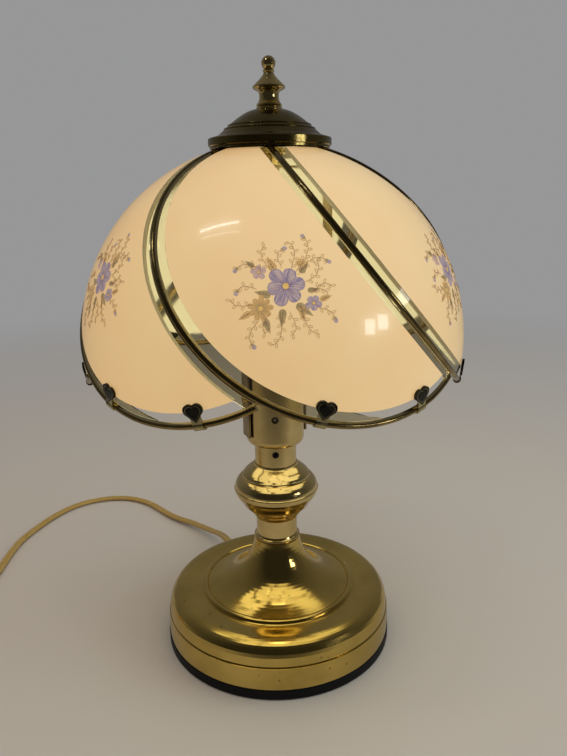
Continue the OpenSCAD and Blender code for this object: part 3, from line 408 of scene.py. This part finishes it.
# Outline of two round cores side by side with a groove between them
def twinSection():
    r = cord["thick"] / 2
    half = cord["width"] / 2 - r - cord["inset"]
    lobe = [(half + r * math.cos(math.radians(w)), r * math.sin(math.radians(w))) for w in range(-144, 145, 36)]
    return [(x * mm, y * mm) for x, y in lobe] + [(-x * mm, -y * mm) for x, y in lobe]


def makeCord():
    path = cordPath()
    line = finer(path, 2)
    section = twinSection()
    count = len(section)
    points = []
    for i, place in enumerate(line):
        along = (line[min(i + 1, len(line) - 1)] - line[max(i - 1, 0)]).normalized()
        side = Vector((along.y, -along.x, 0)).normalized()
        up = side.cross(along)
        points += [place + side * x + up * y for x, y in section]
    faces = [(i * count + k, i * count + (k + 1) % count, (i + 1) * count + (k + 1) % count, (i + 1) * count + k)
             for i in range(len(line) - 1) for k in range(count)]
    faces += [tuple(reversed(range(count))), tuple(range(len(points) - count, len(points)))]
    mesh = bpy.data.meshes.new("leadSkin")
    mesh.from_pydata(points, [], faces)
    piece = bpy.data.objects.new("leadSkin", mesh)
    bpy.context.scene.collection.objects.link(piece)
    outwards(piece)
    smooth(piece, 50)
    paint(piece, amberVinyl)
    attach(piece, "lamp")
    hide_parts("lamp_cord", "cord_coil")


makeCord()
print("lead laid")

# Shade: six bent petals, each an enamelled shell with clear bevelled strips, all from the wires' circles
shade = {"glassR": 108, "thick": 3, "wirePath": 107.3, "wireR": 1.5, "ringR": 28, "tilt": 39.3, "spread": 51.6,
         "first": -62.5, "gap": 0.3, "border": 5.4, "farBorder": 4.2, "bevel": 1.1, "rimThick": 0.8, "topR": 31}
ringLow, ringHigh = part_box("shade_ring")
shadeCentre = Vector((0, 0, (ringLow.z + ringHigh.z) / 2
                      - math.sqrt(shade["wirePath"] ** 2 - shade["ringR"] ** 2) * mm))


def petalAxis(index):
    turn = math.radians(shade["first"] + 60 * index)
    tilt = math.radians(shade["tilt"])
    return Vector((math.cos(tilt) * math.cos(turn), math.cos(tilt) * math.sin(turn), math.sin(tilt)))


# From a petal's own frame, +Z along its axis and +X to its lowest point, to the lamp's
def inPetalFrame(index):
    return (Matrix.Translation(shadeCentre) @ Matrix.Rotation(math.radians(shade["first"] + 60 * index), 4, "Z")
            @ Matrix.Rotation(math.radians(90 - shade["tilt"]), 4, "Y"))


edgeAngle = (shade["wireR"] + shade["gap"]) / shade["wirePath"]
borderAngle = shade["border"] / shade["glassR"]
farBorderAngle = shade["farBorder"] / shade["glassR"]
spreadAngle = math.radians(shade["spread"])


# Cuts along the circle where a cone from the centre of the shade meets a sphere
def cutByCone(piece, axis, angle, radius, keepInside, fill=False):
    point = shadeCentre + axis * (radius * math.cos(angle))
    cutAway(piece, point, -axis if keepInside else axis, fill)


def cutTop(piece, radius, fill=False):
    point = shadeCentre + Vector((0, 0, math.sqrt(radius ** 2 - (shade["topR"] * mm) ** 2)))
    cutAway(piece, point, Vector((0, 0, 1)), fill)


# The enamelled field of the first petal
def makeEnamel():
    radius = shade["glassR"] * mm
    bpy.ops.mesh.primitive_uv_sphere_add(segments=160, ring_count=96, radius=radius, location=shadeCentre)
    piece = named("petalEnamel1")
    applyPlace(piece)
    own, following = petalAxis(0), petalAxis(1)
    cutByCone(piece, own, spreadAngle - edgeAngle - borderAngle, radius, True)
    cutByCone(piece, following, spreadAngle + edgeAngle + farBorderAngle, radius, False)
    cutTop(piece, radius)
    paint(piece, enamel, enamelInside, enamelRim)
    applyModifier(piece, "wall", "SOLIDIFY", thickness=(shade["thick"] - 0.2) * mm, offset=-1,
                  material_offset=1, material_offset_rim=2)
    smooth(piece, 40)
    return piece


# A ring-shaped facet round a petal's axis, between two circles given as (radius, angle)
def frustum(name, index, wide, narrow):
    (low, wideLow), (high, wideHigh) = sorted((r * math.cos(w) * mm, r * math.sin(w) * mm) for r, w in (wide, narrow))
    bpy.ops.mesh.primitive_cone_add(vertices=240, radius1=wideLow, radius2=wideHigh, depth=high - low,
                                    end_fill_type="NOTHING", location=(0, 0, (low + high) / 2))
    piece = named(name)
    applyPlace(piece)
    piece.data.transform(inPetalFrame(index))
    return piece


# Cuts where a petal's own border meets the border along the next wire
def mitre(piece, keepOwn):
    own, far = shade["border"], shade["farBorder"]
    total = petalAxis(0) * far + petalAxis(1) * own
    reach = (far + own) * math.cos(spreadAngle) + (far - own) * math.sin(spreadAngle) * edgeAngle
    point = shadeCentre + total.normalized() * (shade["glassR"] * mm * reach / total.length)
    cutAway(piece, point, total if keepOwn else -total)


def makeOwnStrip():
    edge, field = spreadAngle - edgeAngle, spreadAngle - edgeAngle - borderAngle
    piece = frustum("petalStrip1", 0, (shade["glassR"] - shade["bevel"], edge), (shade["glassR"], field))
    cutByCone(piece, petalAxis(1), spreadAngle + edgeAngle, shade["glassR"] * mm, False)
    mitre(piece, True)
    cutTop(piece, shade["glassR"] * mm)
    return piece


def makeFarStrip():
    edge, field = spreadAngle + edgeAngle, spreadAngle + edgeAngle + farBorderAngle
    piece = frustum("petalFarStrip1", 1, (shade["glassR"], field), (shade["glassR"] - shade["bevel"], edge))
    cutByCone(piece, petalAxis(0), spreadAngle - edgeAngle, shade["glassR"] * mm, True)
    mitre(piece, False)
    cutTop(piece, shade["glassR"] * mm)
    return piece


def finishStrip(piece):
    outwards(piece)
    applyModifier(piece, "wall", "SOLIDIFY", thickness=shade["rimThick"] * mm, offset=-1)
    smooth(piece, 30)


def makeShadeGlass():
    enamelOne = makeEnamel()
    stripOne, farOne = makeOwnStrip(), makeFarStrip()
    for piece in (stripOne, farOne):
        finishStrip(piece)
        paint(piece, stripGlass)
    for index in range(petalCount):
        for first, base in ((enamelOne, "petalEnamel"), (stripOne, "petalStrip"), (farOne, "petalFarStrip")):
            turn = math.radians(60 * index)
            piece = first if index == 0 else copyOf(first, f"{base}{index + 1}", turn)
            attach(piece, "shade")
            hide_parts(f"petal_{index + 1}")


makeShadeGlass()
print("petals bent")

# A sloping brass lip on each wire's own side, and a thin round bead on its far side
lip = {"from": 1.2, "to": 2.05, "high": 108.2, "low": 106.85, "thick": 0.16, "bead": 0.38, "beadFrom": 1.86,
       "beadR": 107.4}


def makeLips():
    near, far = lip["from"] / lip["high"], lip["to"] / lip["high"]
    inner = frustum("innerLip1", 0, (lip["high"], spreadAngle - near), (lip["low"], spreadAngle - far))
    cutByCone(inner, petalAxis(1), spreadAngle + edgeAngle, shade["glassR"] * mm, False)
    cutTop(inner, shade["glassR"] * mm)
    outwards(inner)
    applyModifier(inner, "wall", "SOLIDIFY", thickness=lip["thick"] * mm, offset=-1)
    around = spreadAngle + lip["beadFrom"] / lip["beadR"]
    bpy.ops.mesh.primitive_torus_add(major_segments=240, minor_segments=10, minor_radius=lip["bead"] * mm,
                                     major_radius=lip["beadR"] * math.sin(around) * mm,
                                     location=(0, 0, lip["beadR"] * math.cos(around) * mm))
    bead = named("wireBead1")
    applyPlace(bead)
    bead.data.transform(inPetalFrame(1))
    cutByCone(bead, petalAxis(0), spreadAngle - edgeAngle, shade["glassR"] * mm, True, True)
    cutTop(bead, shade["glassR"] * mm, True)
    for first, base in ((inner, "innerLip"), (bead, "wireBead")):
        smooth(first, 40)
        paint(first, lipBrass)
        for index in range(petalCount):
            piece = first if index == 0 else copyOf(first, f"{base}{index + 1}", math.radians(60 * index))
            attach(piece, "shade")


makeLips()
print("lips rolled")

# The clips' raised rims are as dark as the caps: they lie further from the shade's centre than the straps, and
# above the hooks round the wires
def darkenRims(material, out=0.1092, low=-0.01775):
    tree = material.node_tree
    socket = tree.nodes["Principled BSDF"].inputs["Base Color"]
    centre = nodes["heart_clips"].matrix_world.inverted() @ shadeCentre
    place = vectorCalc(tree, "SUBTRACT", objectPoint(tree), centre)["Vector"]
    away = vectorCalc(tree, "LENGTH", place, (0, 0, 0))["Value"]
    across = tree.nodes.new("ShaderNodeSeparateXYZ")
    feed(tree, place, across.inputs[0])
    rim = calc(tree, "MULTIPLY", calc(tree, "GREATER_THAN", away, out),
               calc(tree, "GREATER_THAN", across.outputs["Z"], low))
    tone = socket.links[0].from_socket
    feed(tree, blendColour(tree, rim, tone, (0.03, 0.029, 0.02, 1)), socket)


darkenRims(clipBrass)

# Dark caps within the clips' rims, each with a thin pale line let in: (width, thickness, top, how far the tip goes)
heart = {"turn": 19.2, "shift": -1.8, "back": 2.6, "full": 9.4,
         "cap": (9.9, 1.3, 1.43, 0.25), "line": (7.9, 0.2, 1.455, -0.6), "field": (7.4, 0.2, 1.48, -0.82)}


def heartSlab(kind, material, round):
    width, thick, top, tip = heart[kind]
    side = width / 1.707 * mm
    lobes = []
    for across in (-1, 1):
        bpy.ops.mesh.primitive_cylinder_add(vertices=40, radius=side / 2, depth=thick * mm,
                                            location=(-side * 1.0606, across * side * 0.3536, 0))
        lobes.append(named("lobe"))
        applyPlace(lobes[-1])
    bpy.ops.mesh.primitive_cube_add(size=1, location=(-side * 0.707, 0, 0), rotation=(0, 0, math.pi / 4),
                                    scale=(side, side, thick * mm))
    slab = named("heartFace")
    applyPlace(slab)
    for lobe in lobes:
        applyModifier(slab, "union", "BOOLEAN", operation="UNION", object=lobe, solver="EXACT")
        bpy.data.objects.remove(lobe)
    applyModifier(slab, "edge", "BEVEL", width=round * mm, segments=2, angle_limit=math.radians(50))
    slab.data.transform(Matrix.Translation(Vector((tip, 0, top - thick / 2)) * mm))
    smooth(slab, 40)
    applyModifier(slab, "flats", "WEIGHTED_NORMAL", keep_sharp=True)
    paint(slab, material)
    return slab


def makeHeartFaces():
    face = joined([heartSlab("cap", clipFace, 0.25), heartSlab("line", heartLine, 0.04),
                   heartSlab("field", clipFace, 0.04)], "heartFace")
    reach = (heart["back"] + heart["full"] * 0.45) / shade["glassR"]
    slide = shade["glassR"] * math.tan(reach) - heart["back"]
    onGlass = (Matrix.Rotation(spreadAngle - reach, 4, "Y")
               @ Matrix.Translation(Vector((slide, 0, shade["glassR"])) * mm))
    for index in range(petalCount):
        for number, way in enumerate((-1, 1)):
            piece = copyOf(face, f"heartFace{2 * index + number + 1}", 0)
            place = math.radians(heart["shift"] + way * heart["turn"])
            piece.data.transform(inPetalFrame(index) @ Matrix.Rotation(place, 4, "Z") @ onGlass)
            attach(piece, "shade")
    bpy.data.objects.remove(face)


makeHeartFaces()
print("hearts set")

# Floral spray on each petal, laid out flat in millimetres about its middle: right and up as seen from outside.
# A flower is (right, up, petals, length, width, turn, ink), a leaf (right, up, length, width, turn, ink),
# and a vine (right, up, heading, length, bend at its foot, bend at its tip), bends in degrees a millimetre.
spray = {
    "azimuth": -25.7, "elevation": 21.4,
    "flowers": [(2.5, 3, 6, 8.6, 5.6, 10, "lavender"), (-8.5, -6.5, 9, 5.6, 2.3, 5, "ochre"),
                (14.5, -4.5, 5, 3.6, 2.7, 60, "lavender"), (-9, 9.5, 5, 3.4, 2.4, 20, "pale"),
                (9.5, 13.5, 5, 2.2, 1.7, 35, "ochre")],
    "eyes": [(2.5, 3, 1.4), (-8.5, -6.5, 1.1), (14.5, -4.5, 0.7), (-9, 9.5, 0.6), (9.5, 13.5, 0.5)],
    "leaves": [(7, -5, 9, 3.2, -35, "leaf"), (9, -6, 7, 2.6, -80, "ochre"), (-4, -1, 7.5, 2.8, 165, "leaf"),
               (-2, 10, 7.5, 2.8, 115, "ochre"), (9, 9, 6, 2.4, 50, "leaf"), (-7, -11, 7, 2.6, -70, "leaf"),
               (-13, -8, 6.5, 2.4, -150, "ochre"), (1, -7, 8, 2.8, -95, "leaf"), (17.5, -3, 6, 2.2, 20, "ochre"),
               (12, 1, 5.5, 2.1, 8, "leaf"), (-11, 12, 5, 2, 140, "leaf")],
    "vines": [(8, 8, 48, 17, 3, -13), (5, 10, 80, 16, -4, 15), (-3, 9, 118, 15, 4, -15), (-7, 10, 150, 13, -3, 16),
              (-12, -5, 175, 11, 5, -17), (-9, -11, 235, 13, -4, 16), (0, -8, 265, 17, 4, -13),
              (9, -8, 300, 14, -5, 15), (16, -6, 335, 10, 6, -16), (11, 5, 15, 14, 4, 12),
              (7, 9, 62, 19, -3, 10), (-10, 2, 165, 9, -6, 24), (4, -8, 282, 12, 8, -24), (13, 2, 350, 9, 8, -22),
              (-5, -9, 250, 10, -8, 24), (1, 11, 98, 10, 8, -24), (14, 0, 40, 11, 5, -22)],
    "budded": [0, 3, 5, 8, 10, 11, 15],
}


# A flat rounded shape, narrow at its left end
def printForm(name, taper):
    bpy.ops.mesh.primitive_circle_add(vertices=18, radius=1, fill_type="TRIFAN")
    form = named(name)
    applyModifier(form, "taper", "SIMPLE_DEFORM", deform_method="TAPER", deform_axis="X", factor=taper)
    return form


def stamp(form, material, right, up, length, width, turn, away=0.0):
    shape = copyOf(form, "stamp", 0)
    shape.data.transform(Matrix.Translation((right, up, 0)) @ Matrix.Rotation(math.radians(turn), 4, "Z")
                         @ Matrix.Translation((length / 2 + away, 0, 0))
                         @ Matrix.Diagonal((length / 2, width / 2, 1, 1)))
    paint(shape, material)
    return shape


# Points and edges of one vine: a bending stem, and a small looped leaf on alternate sides
def vineLines(right, up, heading, length, bendFoot, bendTip, points, edges):
    step, turn, place, since, way = 0.6, heading, Vector((right, up, 0)), 0.0, 1
    last = len(points)
    points.append(place.copy())
    count = int(length / step)
    for i in range(count):
        turn += step * (bendFoot + (bendTip - bendFoot) * i / count)
        place = place + step * Vector((math.cos(math.radians(turn)), math.sin(math.radians(turn)), 0))
        points.append(place.copy())
        edges.append((last, len(points) - 1))
        last = len(points) - 1
        since += step
        if since > 1.7:
            since, way = 0.0, -way
            aim = Matrix.Rotation(math.radians(turn + 55 * way), 3, "Z")
            first = len(points)
            for k in range(8):
                w = 2 * math.pi * (k + 0.5) / 8
                points.append(place + aim @ Vector((1.1 * (1 - math.cos(w)), 0.5 * math.sin(w), 0)))
                edges.append((first + k, first + (k + 1) % 8))
    return place, turn


def onPetal():
    turn, rise = math.radians(shade["first"] + spray["azimuth"]), math.radians(spray["elevation"])
    outward = Vector((math.cos(rise) * math.cos(turn), math.cos(rise) * math.sin(turn), math.sin(rise)))
    east = Vector((-math.sin(turn), math.cos(turn), 0))
    basis = Matrix((east, outward.cross(east), outward)).transposed().to_4x4()
    return Matrix.Translation(shadeCentre + outward * shade["glassR"] * mm) @ basis @ Matrix.Scale(mm, 4)


def wrap(piece, form, lift):
    piece.data.transform(onPetal())
    applyModifier(piece, "wrap", "SHRINKWRAP", target=form, wrap_method="NEAREST_SURFACEPOINT",
                  wrap_mode="ABOVE_SURFACE", offset=lift * mm)


def makeSpray():
    inks = {"lavender": lavenderInk, "pale": paleInk, "ochre": ochreInk, "leaf": leafInk}
    bpy.ops.mesh.primitive_uv_sphere_add(segments=256, ring_count=128, radius=shade["glassR"] * mm,
                                         location=shadeCentre)
    ball = named("wrapForm")
    applyPlace(ball)
    petalForm, leafForm, roundForm = printForm("petalForm", 0.9), printForm("leafForm", -1.7), printForm("roundForm", 0)
    low, middle, high, top = [], [], [], []
    for right, up, length, width, turn, name in spray["leaves"]:
        low.append(stamp(leafForm, inks[name], right, up, length, width, turn))
        high.append(stamp(leafForm, lineInk, right, up, length * 0.9, 0.22, turn))
        for i in range(3):
            for way in (-1, 1):
                high.append(stamp(leafForm, lineInk, right + math.cos(math.radians(turn)) * length * (0.2 + 0.2 * i),
                                  up + math.sin(math.radians(turn)) * length * (0.2 + 0.2 * i),
                                  width * 0.5, 0.16, turn + way * 42))
    for right, up, count, length, width, turn, name in spray["flowers"]:
        for k in range(count):
            angle = turn + 360 * k / count
            middle.append(stamp(petalForm, inks[name], right, up, length * (1 + 0.08 * math.sin(3.7 * k)), width, angle))
            if length > 5:
                for way in (-1, 0, 1):
                    vein = violetInk if name == "lavender" else leafInk
                    high.append(stamp(leafForm, vein, right, up, length * (0.72 - 0.12 * abs(way)), 0.2,
                                      angle + way * 50 * width / length / 2.6, 0.6))
    for right, up, size in spray["eyes"]:
        top.append(stamp(roundForm, yellowInk, right - size, up, size * 2, size * 2, 0))
        for k in range(9):
            angle = math.radians(40 * k)
            top.append(stamp(roundForm, lineInk, right + size * 1.15 * math.cos(angle),
                             up + size * 1.15 * math.sin(angle), 0.34, 0.34, 0))
    points, edges = [], []
    for number, vine in enumerate(spray["vines"]):
        tip, turn = vineLines(*vine, points, edges)
        if number in spray["budded"]:
            middle.append(stamp(petalForm, lavenderInk, tip.x, tip.y, 2.8, 1.9, turn))
            high.append(stamp(leafForm, leafInk, tip.x, tip.y, 1.4, 1.3, turn))
    mesh = bpy.data.meshes.new("vines")
    mesh.from_pydata(points, edges, [])
    vines = bpy.data.objects.new("vines", mesh)
    bpy.context.scene.collection.objects.link(vines)
    wrap(vines, ball, 0.12)
    pick(vines)
    bpy.ops.object.convert(target="CURVE")
    vines.data.bevel_depth = 0.085 * mm
    vines.data.bevel_resolution = 0
    bpy.ops.object.convert(target="MESH")
    vines = bpy.context.object
    paint(vines, lineInk)
    sheets = [vines]
    for shapes, lift in ((low, 0.04), (middle, 0.07), (high, 0.10), (top, 0.13)):
        sheet = joined(shapes, "printSheet")
        wrap(sheet, ball, lift)
        sheets.append(sheet)
    first = joined(sheets, "petalSpray1")
    for form in (ball, petalForm, leafForm, roundForm):
        bpy.data.objects.remove(form)
    for index in range(petalCount):
        piece = first if index == 0 else copyOf(first, f"petalSpray{index + 1}", math.radians(60 * index))
        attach(piece, "shade")


makeSpray()
print("sprays printed")

# Finishes of the pieces that come straight from the part
finishes = {
    felt: ["felt_pad"],
    coverBlack: ["bottom_cover"],
    castIron: ["base_weight"],
    plainSteel: ["bottom_washer", "bottom_nut", "neck_nut", "touch_lug", "lamp_pipe", "lock_washer", "top_nut",
                 "bulb_contact"],
    baseBrass: ["base_shell"],
    capBrass: ["shade_cap"],
    polishedBrass: ["check_ring", "neck_tube", "knob_lower", "knob_upper", "upper_tube", "socket_cup", "harp_screws",
                    "harp_stud", "finial"],
    wireBrass: ["harp", "shade_ring"] + [f"petal_wire_{i + 1}" for i in range(petalCount)],
    clipBrass: ["heart_clips"],
    caseBlack: ["control_module", "bulb_insulator"],
    orangePlastic: ["wire_nuts"],
    ceramic: ["socket_base"],
    fibre: ["socket_liner"],
    darkVinyl: ["module_leads", "cord_tie"],
    whiteVinyl: ["socket_leads"],
    greenVinyl: ["touch_lead"],
    amberVinyl: ["supply_leads", "strain_relief", "plug_body", "lamp_cord", "cord_coil"],
    thinBrass: ["centre_contact", "screw_shell", "plug_blades"],
    lampCapMetal: ["bulb_cap"],
    blackScrew: ["tube_screw", "cup_screw"],
    bulbGlow: ["bulb_glass"],
    stripGlass: ["filament_mount"] + [f"petal_{i + 1}" for i in range(petalCount)],
}
for material, members in finishes.items():
    for member in members:
        for place in nodes[member].material_slots:
            place.material = material
print("finishes given")


# Floor, backdrop and lights
studio = {"floor": (0.56, 0.465, 0.37), "backdrop": (0.31, 0.31, 0.315), "wall": (0.15, 0.146, 0.14),
          "shadow": (0.02, 0.019, 0.018), "dim": (0.11, 0.105, 0.10), "fadeFrom": 0.35, "fadeTo": 1.3}


def makeFloor():
    bpy.ops.mesh.primitive_circle_add(vertices=96, radius=6, fill_type="NGON", location=(0, 0, -0.0003))
    floor = named("floor")
    material, tree, shader = newMaterial("floorPaint", Roughness=0.55)
    away = tree.nodes.new("ShaderNodeVectorMath")
    away.operation = "LENGTH"
    feed(tree, objectPoint(tree), away.inputs[0])
    share = spread(tree, away.outputs["Value"], studio["fadeFrom"], studio["fadeTo"], 0.0, 1.0)
    grain = noise(tree, objectPoint(tree), 30.0, 4)
    worn = blendColour(tree, spread(tree, grain, 0.3, 0.7, 0.0, 0.08), (*studio["floor"], 1), (0.5, 0.47, 0.43, 1))
    tree.links.new(worn, shader.inputs["Base Color"])
    mirrored = tree.nodes.new("ShaderNodeLightPath").outputs["Is Glossy Ray"]
    glow = tree.nodes.new("ShaderNodeEmission")
    tree.links.new(blendColour(tree, mirrored, (*studio["backdrop"], 1), (*studio["wall"], 1)), glow.inputs["Color"])
    fade = tree.nodes.new("ShaderNodeMixShader")
    tree.links.new(share, fade.inputs[0])
    tree.links.new(shader.outputs[0], fade.inputs[1])
    tree.links.new(glow.outputs[0], fade.inputs[2])
    # in the metal, the floor in front falls off into the dim room
    across = tree.nodes.new("ShaderNodeSeparateXYZ")
    feed(tree, objectPoint(tree), across.inputs[0])
    dusk = tree.nodes.new("ShaderNodeEmission")
    far = spread(tree, across.outputs["Y"], -0.4, -0.9, 0.0, 1.0)
    tree.links.new(blendColour(tree, far, (*studio["dim"], 1), (*studio["shadow"], 1)), dusk.inputs["Color"])
    front = tree.nodes.new("ShaderNodeMixShader")
    nearby = spread(tree, across.outputs["Y"], -0.2, -0.45, 0.35, 1.0)
    tree.links.new(calc(tree, "MULTIPLY", nearby, mirrored), front.inputs[0])
    tree.links.new(fade.outputs[0], front.inputs[1])
    tree.links.new(dusk.outputs[0], front.inputs[2])
    tree.links.new(front.outputs[0], tree.nodes["Material Output"].inputs["Surface"])
    paint(floor, material)


def makeWorld():
    world = bpy.data.worlds.new("studioWorld")
    bpy.context.scene.world = world
    world.use_nodes = True
    tree = world.node_tree
    soft = tree.nodes["Background"]
    soft.inputs["Color"].default_value = (0.93, 0.96, 1.0, 1)
    soft.inputs["Strength"].default_value = 0.45
    seen = tree.nodes.new("ShaderNodeBackground")
    rays = tree.nodes.new("ShaderNodeLightPath")
    # in the metal, the room behind the camera is dim
    across = tree.nodes.new("ShaderNodeSeparateXYZ")
    feed(tree, tree.nodes.new("ShaderNodeTexCoord").outputs["Generated"], across.inputs[0])
    pale = spread(tree, across.outputs["Y"], -0.6, 0.9, 0.0, 1.0)
    room = blendColour(tree, pale, (*studio["shadow"], 1), (*studio["wall"], 1))
    tone = blendColour(tree, rays.outputs["Is Glossy Ray"], (*studio["backdrop"], 1), room)
    tree.links.new(tone, seen.inputs["Color"])
    direct = calc(tree, "MAXIMUM", rays.outputs["Is Camera Ray"], rays.outputs["Is Glossy Ray"])
    direct = calc(tree, "MAXIMUM", direct, rays.outputs["Is Transmission Ray"])
    pickOne = tree.nodes.new("ShaderNodeMixShader")
    tree.links.new(direct, pickOne.inputs[0])
    tree.links.new(soft.outputs[0], pickOne.inputs[1])
    tree.links.new(seen.outputs[0], pickOne.inputs[2])
    tree.links.new(pickOne.outputs[0], tree.nodes["World Output"].inputs["Surface"])


lamps = {
    "stripLamp": {"ends": ((-0.627, -0.201, 1.178), (-0.292, -0.285, 1.309)), "width": 0.035, "power": 0.4},
    "stripBelow": {"ends": ((-0.630, -0.288, 1.150), (-0.294, -0.403, 1.277)), "width": 0.02, "power": 0.07},
    "windowLow": {"ends": ((0.901, -0.750, 0.424), (0.975, -0.653, 0.401)), "width": 0.146, "power": 0.4},
    "windowHigh": {"ends": ((0.995, -0.607, 0.438), (1.057, -0.494, 0.410)), "width": 0.141, "power": 0.4},
    "ceiling": {"ends": ((-0.5, -0.3, 1.5), (0.7, -0.3, 1.5)), "width": 1.2, "power": 6, "mirrored": False},
    "daylight": {"ends": ((1.3, -0.7, 0.8), (1.5, 0.3, 0.8)), "width": 0.9, "power": 8, "mirrored": False,
                 "tone": (0.5, 0.8, 1.0)},
}


# Area lamps between two points, facing the shade; the metal mirrors all but the two large soft ones
def makeLamps():
    for name, facts in lamps.items():
        start, end = (Vector(point) for point in facts["ends"])
        bpy.ops.object.light_add(type="AREA", location=(start + end) / 2)
        lamp = bpy.context.object
        lamp.name = name
        lamp.data.shape = "RECTANGLE"
        lamp.data.size, lamp.data.size_y = (end - start).length, facts["width"]
        lamp.data.energy = facts["power"]
        back = ((start + end) / 2 - Vector((0, 0, 0.2))).normalized()
        up = back.cross(end - start).normalized()
        lamp.rotation_euler = Matrix((up.cross(back), up, back)).transposed().to_euler()
        lamp.data.color = facts.get("tone", (1, 1, 1))
        lamp.visible_glossy = facts.get("mirrored", True)


makeFloor()
makeWorld()
makeLamps()
bpy.context.scene.view_settings.view_transform = "Standard"
print("studio lit")
